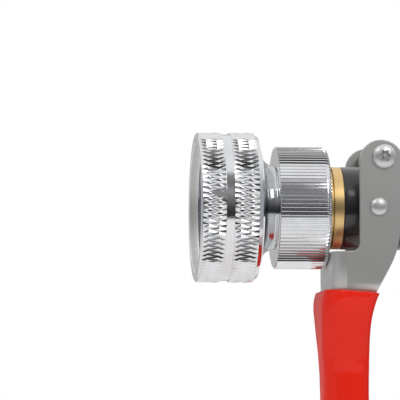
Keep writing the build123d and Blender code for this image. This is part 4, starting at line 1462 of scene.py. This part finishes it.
class NOZZLE_OT_stage(bpy.types.Operator):
    """Set the camera, lamps, sky and floor"""

    bl_idname = "nozzle.stage"
    bl_label = "Stage"

    def execute(self, context):
        stage = context.scene.nozzle_stage
        self.camera(stage)
        self.lamp("key", KEY_PLACE, KEY_SIZE, stage.key_power)
        self.lamp("lever_light", LEVER_LIGHT_PLACE, LEVER_LIGHT_SIZE, stage.lever_power)
        self.sky(stage.sky)
        self.floor()
        context.scene.view_settings.view_transform = "Standard"
        return {"FINISHED"}

    def camera(self, stage):
        """Put the camera round the aim."""
        clear_bench()
        bpy.ops.object.camera_add()
        camera = bpy.context.object
        camera.name = "camera"
        camera.data.lens = stage.lens
        camera.data.sensor_width = SENSOR
        turn, rise = stage.camera_azimuth, stage.camera_elevation
        away = Vector((sin(turn) * cos(rise), -cos(turn) * cos(rise), sin(rise)))
        look_at(camera, AIM + away * stage.camera_distance, AIM)
        bpy.context.scene.camera = camera

    def lamp(self, name, offset, size, power):
        """Add a round lamp turned towards the pivot."""
        clear_bench()
        bpy.ops.object.light_add(type="AREA")
        lamp = bpy.context.object
        lamp.name = name
        lamp.data.shape = "DISK"
        lamp.data.size = size
        lamp.data.energy = power
        look_at(lamp, AIM + Vector(offset), (PIVOT_X * MM, 0, AIM.z))

    def sky(self, strength):
        """White behind the object and round it, with a dim room where a viewer would stand."""
        world = bpy.data.worlds.new("room")
        bpy.context.scene.world = world
        world.use_nodes = True
        graph = Graph(world.node_tree)
        ray = graph.add("ShaderNodeLightPath", {}, {})
        camera_ray = Signal(graph, ray.outputs["Is Camera Ray"])
        mirror_ray = Signal(graph, ray.outputs["Is Glossy Ray"]).at_least(
            Signal(graph, ray.outputs["Is Transmission Ray"])
        )
        direction = graph.signal("ShaderNodeTexCoord", {}, {}, "Generated")
        parts = graph.add("ShaderNodeSeparateXYZ", {}, {0: direction})
        across, towards, upwards = (Signal(graph, output) for output in parts.outputs)
        rise = across.maths("ARCTAN2", upwards, 0 - towards)
        aside = graph.between(abs(across), *SIDE_FADE)
        turn = (rise + pi) / tau
        room = graph.ramp(turn, [((degrees + 180) / 360, light) for degrees, light in ROOM_LIGHT])
        room_colour = graph.blend(aside, room, SIDE_LIGHT)
        even = (strength, strength, strength, 1)
        indirect = graph.blend(mirror_ray, even, room_colour)
        colour = graph.blend(camera_ray, indirect, (1, 1, 1, 1))
        background = graph.signal("ShaderNodeBackground", {}, {"Color": colour})
        graph.add("ShaderNodeOutputWorld", {}, {"Surface": background})

    def floor(self):
        """A pale floor that fades into the white round it."""
        clear_bench()
        bpy.ops.mesh.primitive_circle_add(
            vertices=96, radius=FLOOR_RADIUS, fill_type="NGON", location=FLOOR_CENTRE
        )
        floor = settle("floor")
        material = bpy.data.materials.new("pale_floor")
        material.use_nodes = True
        graph = Graph(material.node_tree)
        offset = graph.signal(
            "ShaderNodeVectorMath",
            {"operation": "DISTANCE"},
            {0: graph.coordinates(), 1: FLOOR_CENTRE},
            "Value",
        )
        edge = graph.between(offset, *FLOOR_FADE)
        mottle = graph.noise(30)
        pale = graph.blend(mottle, (0.93, 0.93, 0.93, 1), (0.9, 0.9, 0.9, 1))
        diffuse = graph.add("ShaderNodeBsdfDiffuse", {}, {"Color": pale})
        clear = graph.add("ShaderNodeBsdfTransparent", {}, {})
        surface = graph.signal(
            "ShaderNodeMixShader",
            {},
            {0: edge, 1: Signal(graph, diffuse.outputs[0]), 2: Signal(graph, clear.outputs[0])},
        )
        graph.add("ShaderNodeOutputMaterial", {}, {"Surface": surface})
        floor.data.materials.append(material)


# ---------------------------------------------------------------- panel and registration
STEPS = (
    NOZZLE_OT_pattern_head,
    NOZZLE_OT_flow_ring,
    NOZZLE_OT_neck,
    NOZZLE_OT_brass_bush,
    NOZZLE_OT_valve_body,
    NOZZLE_OT_rear_cap,
    NOZZLE_OT_hand_grip,
    NOZZLE_OT_hose_inlet,
    NOZZLE_OT_trigger_lever,
    NOZZLE_OT_lever_coat,
    NOZZLE_OT_lever_fasteners,
    NOZZLE_OT_baffle,
    NOZZLE_OT_inner_finishes,
    NOZZLE_OT_stage,
)


class NOZZLE_PT_steps(bpy.types.Panel):
    """Lists the steps and the settings"""

    bl_label = "Fire hose nozzle"
    bl_space_type = "VIEW_3D"
    bl_region_type = "UI"
    bl_category = "Nozzle"

    def draw(self, context):
        scene = context.scene
        for step in STEPS:
            self.layout.operator(step.bl_idname)
        for settings in (scene.nozzle_sizes, scene.nozzle_colours, scene.nozzle_stage):
            box = self.layout.box()
            for name in settings.__annotations__:
                box.prop(settings, name)


CLASSES = (NozzleSizes, NozzleColours, NozzleStage) + STEPS + (NOZZLE_PT_steps,)


def register():
    for part in CLASSES:
        bpy.utils.register_class(part)
    bpy.types.Scene.nozzle_sizes = PointerProperty(type=NozzleSizes)
    bpy.types.Scene.nozzle_colours = PointerProperty(type=NozzleColours)
    bpy.types.Scene.nozzle_stage = PointerProperty(type=NozzleStage)


def unregister():
    del bpy.types.Scene.nozzle_sizes
    del bpy.types.Scene.nozzle_colours
    del bpy.types.Scene.nozzle_stage
    for part in reversed(CLASSES):
        bpy.utils.unregister_class(part)


def main():
    register()
    for step in STEPS:
        family, name = step.bl_idname.split(".")
        getattr(getattr(bpy.ops, family), name)()


if __name__ == "__main__":
    main()
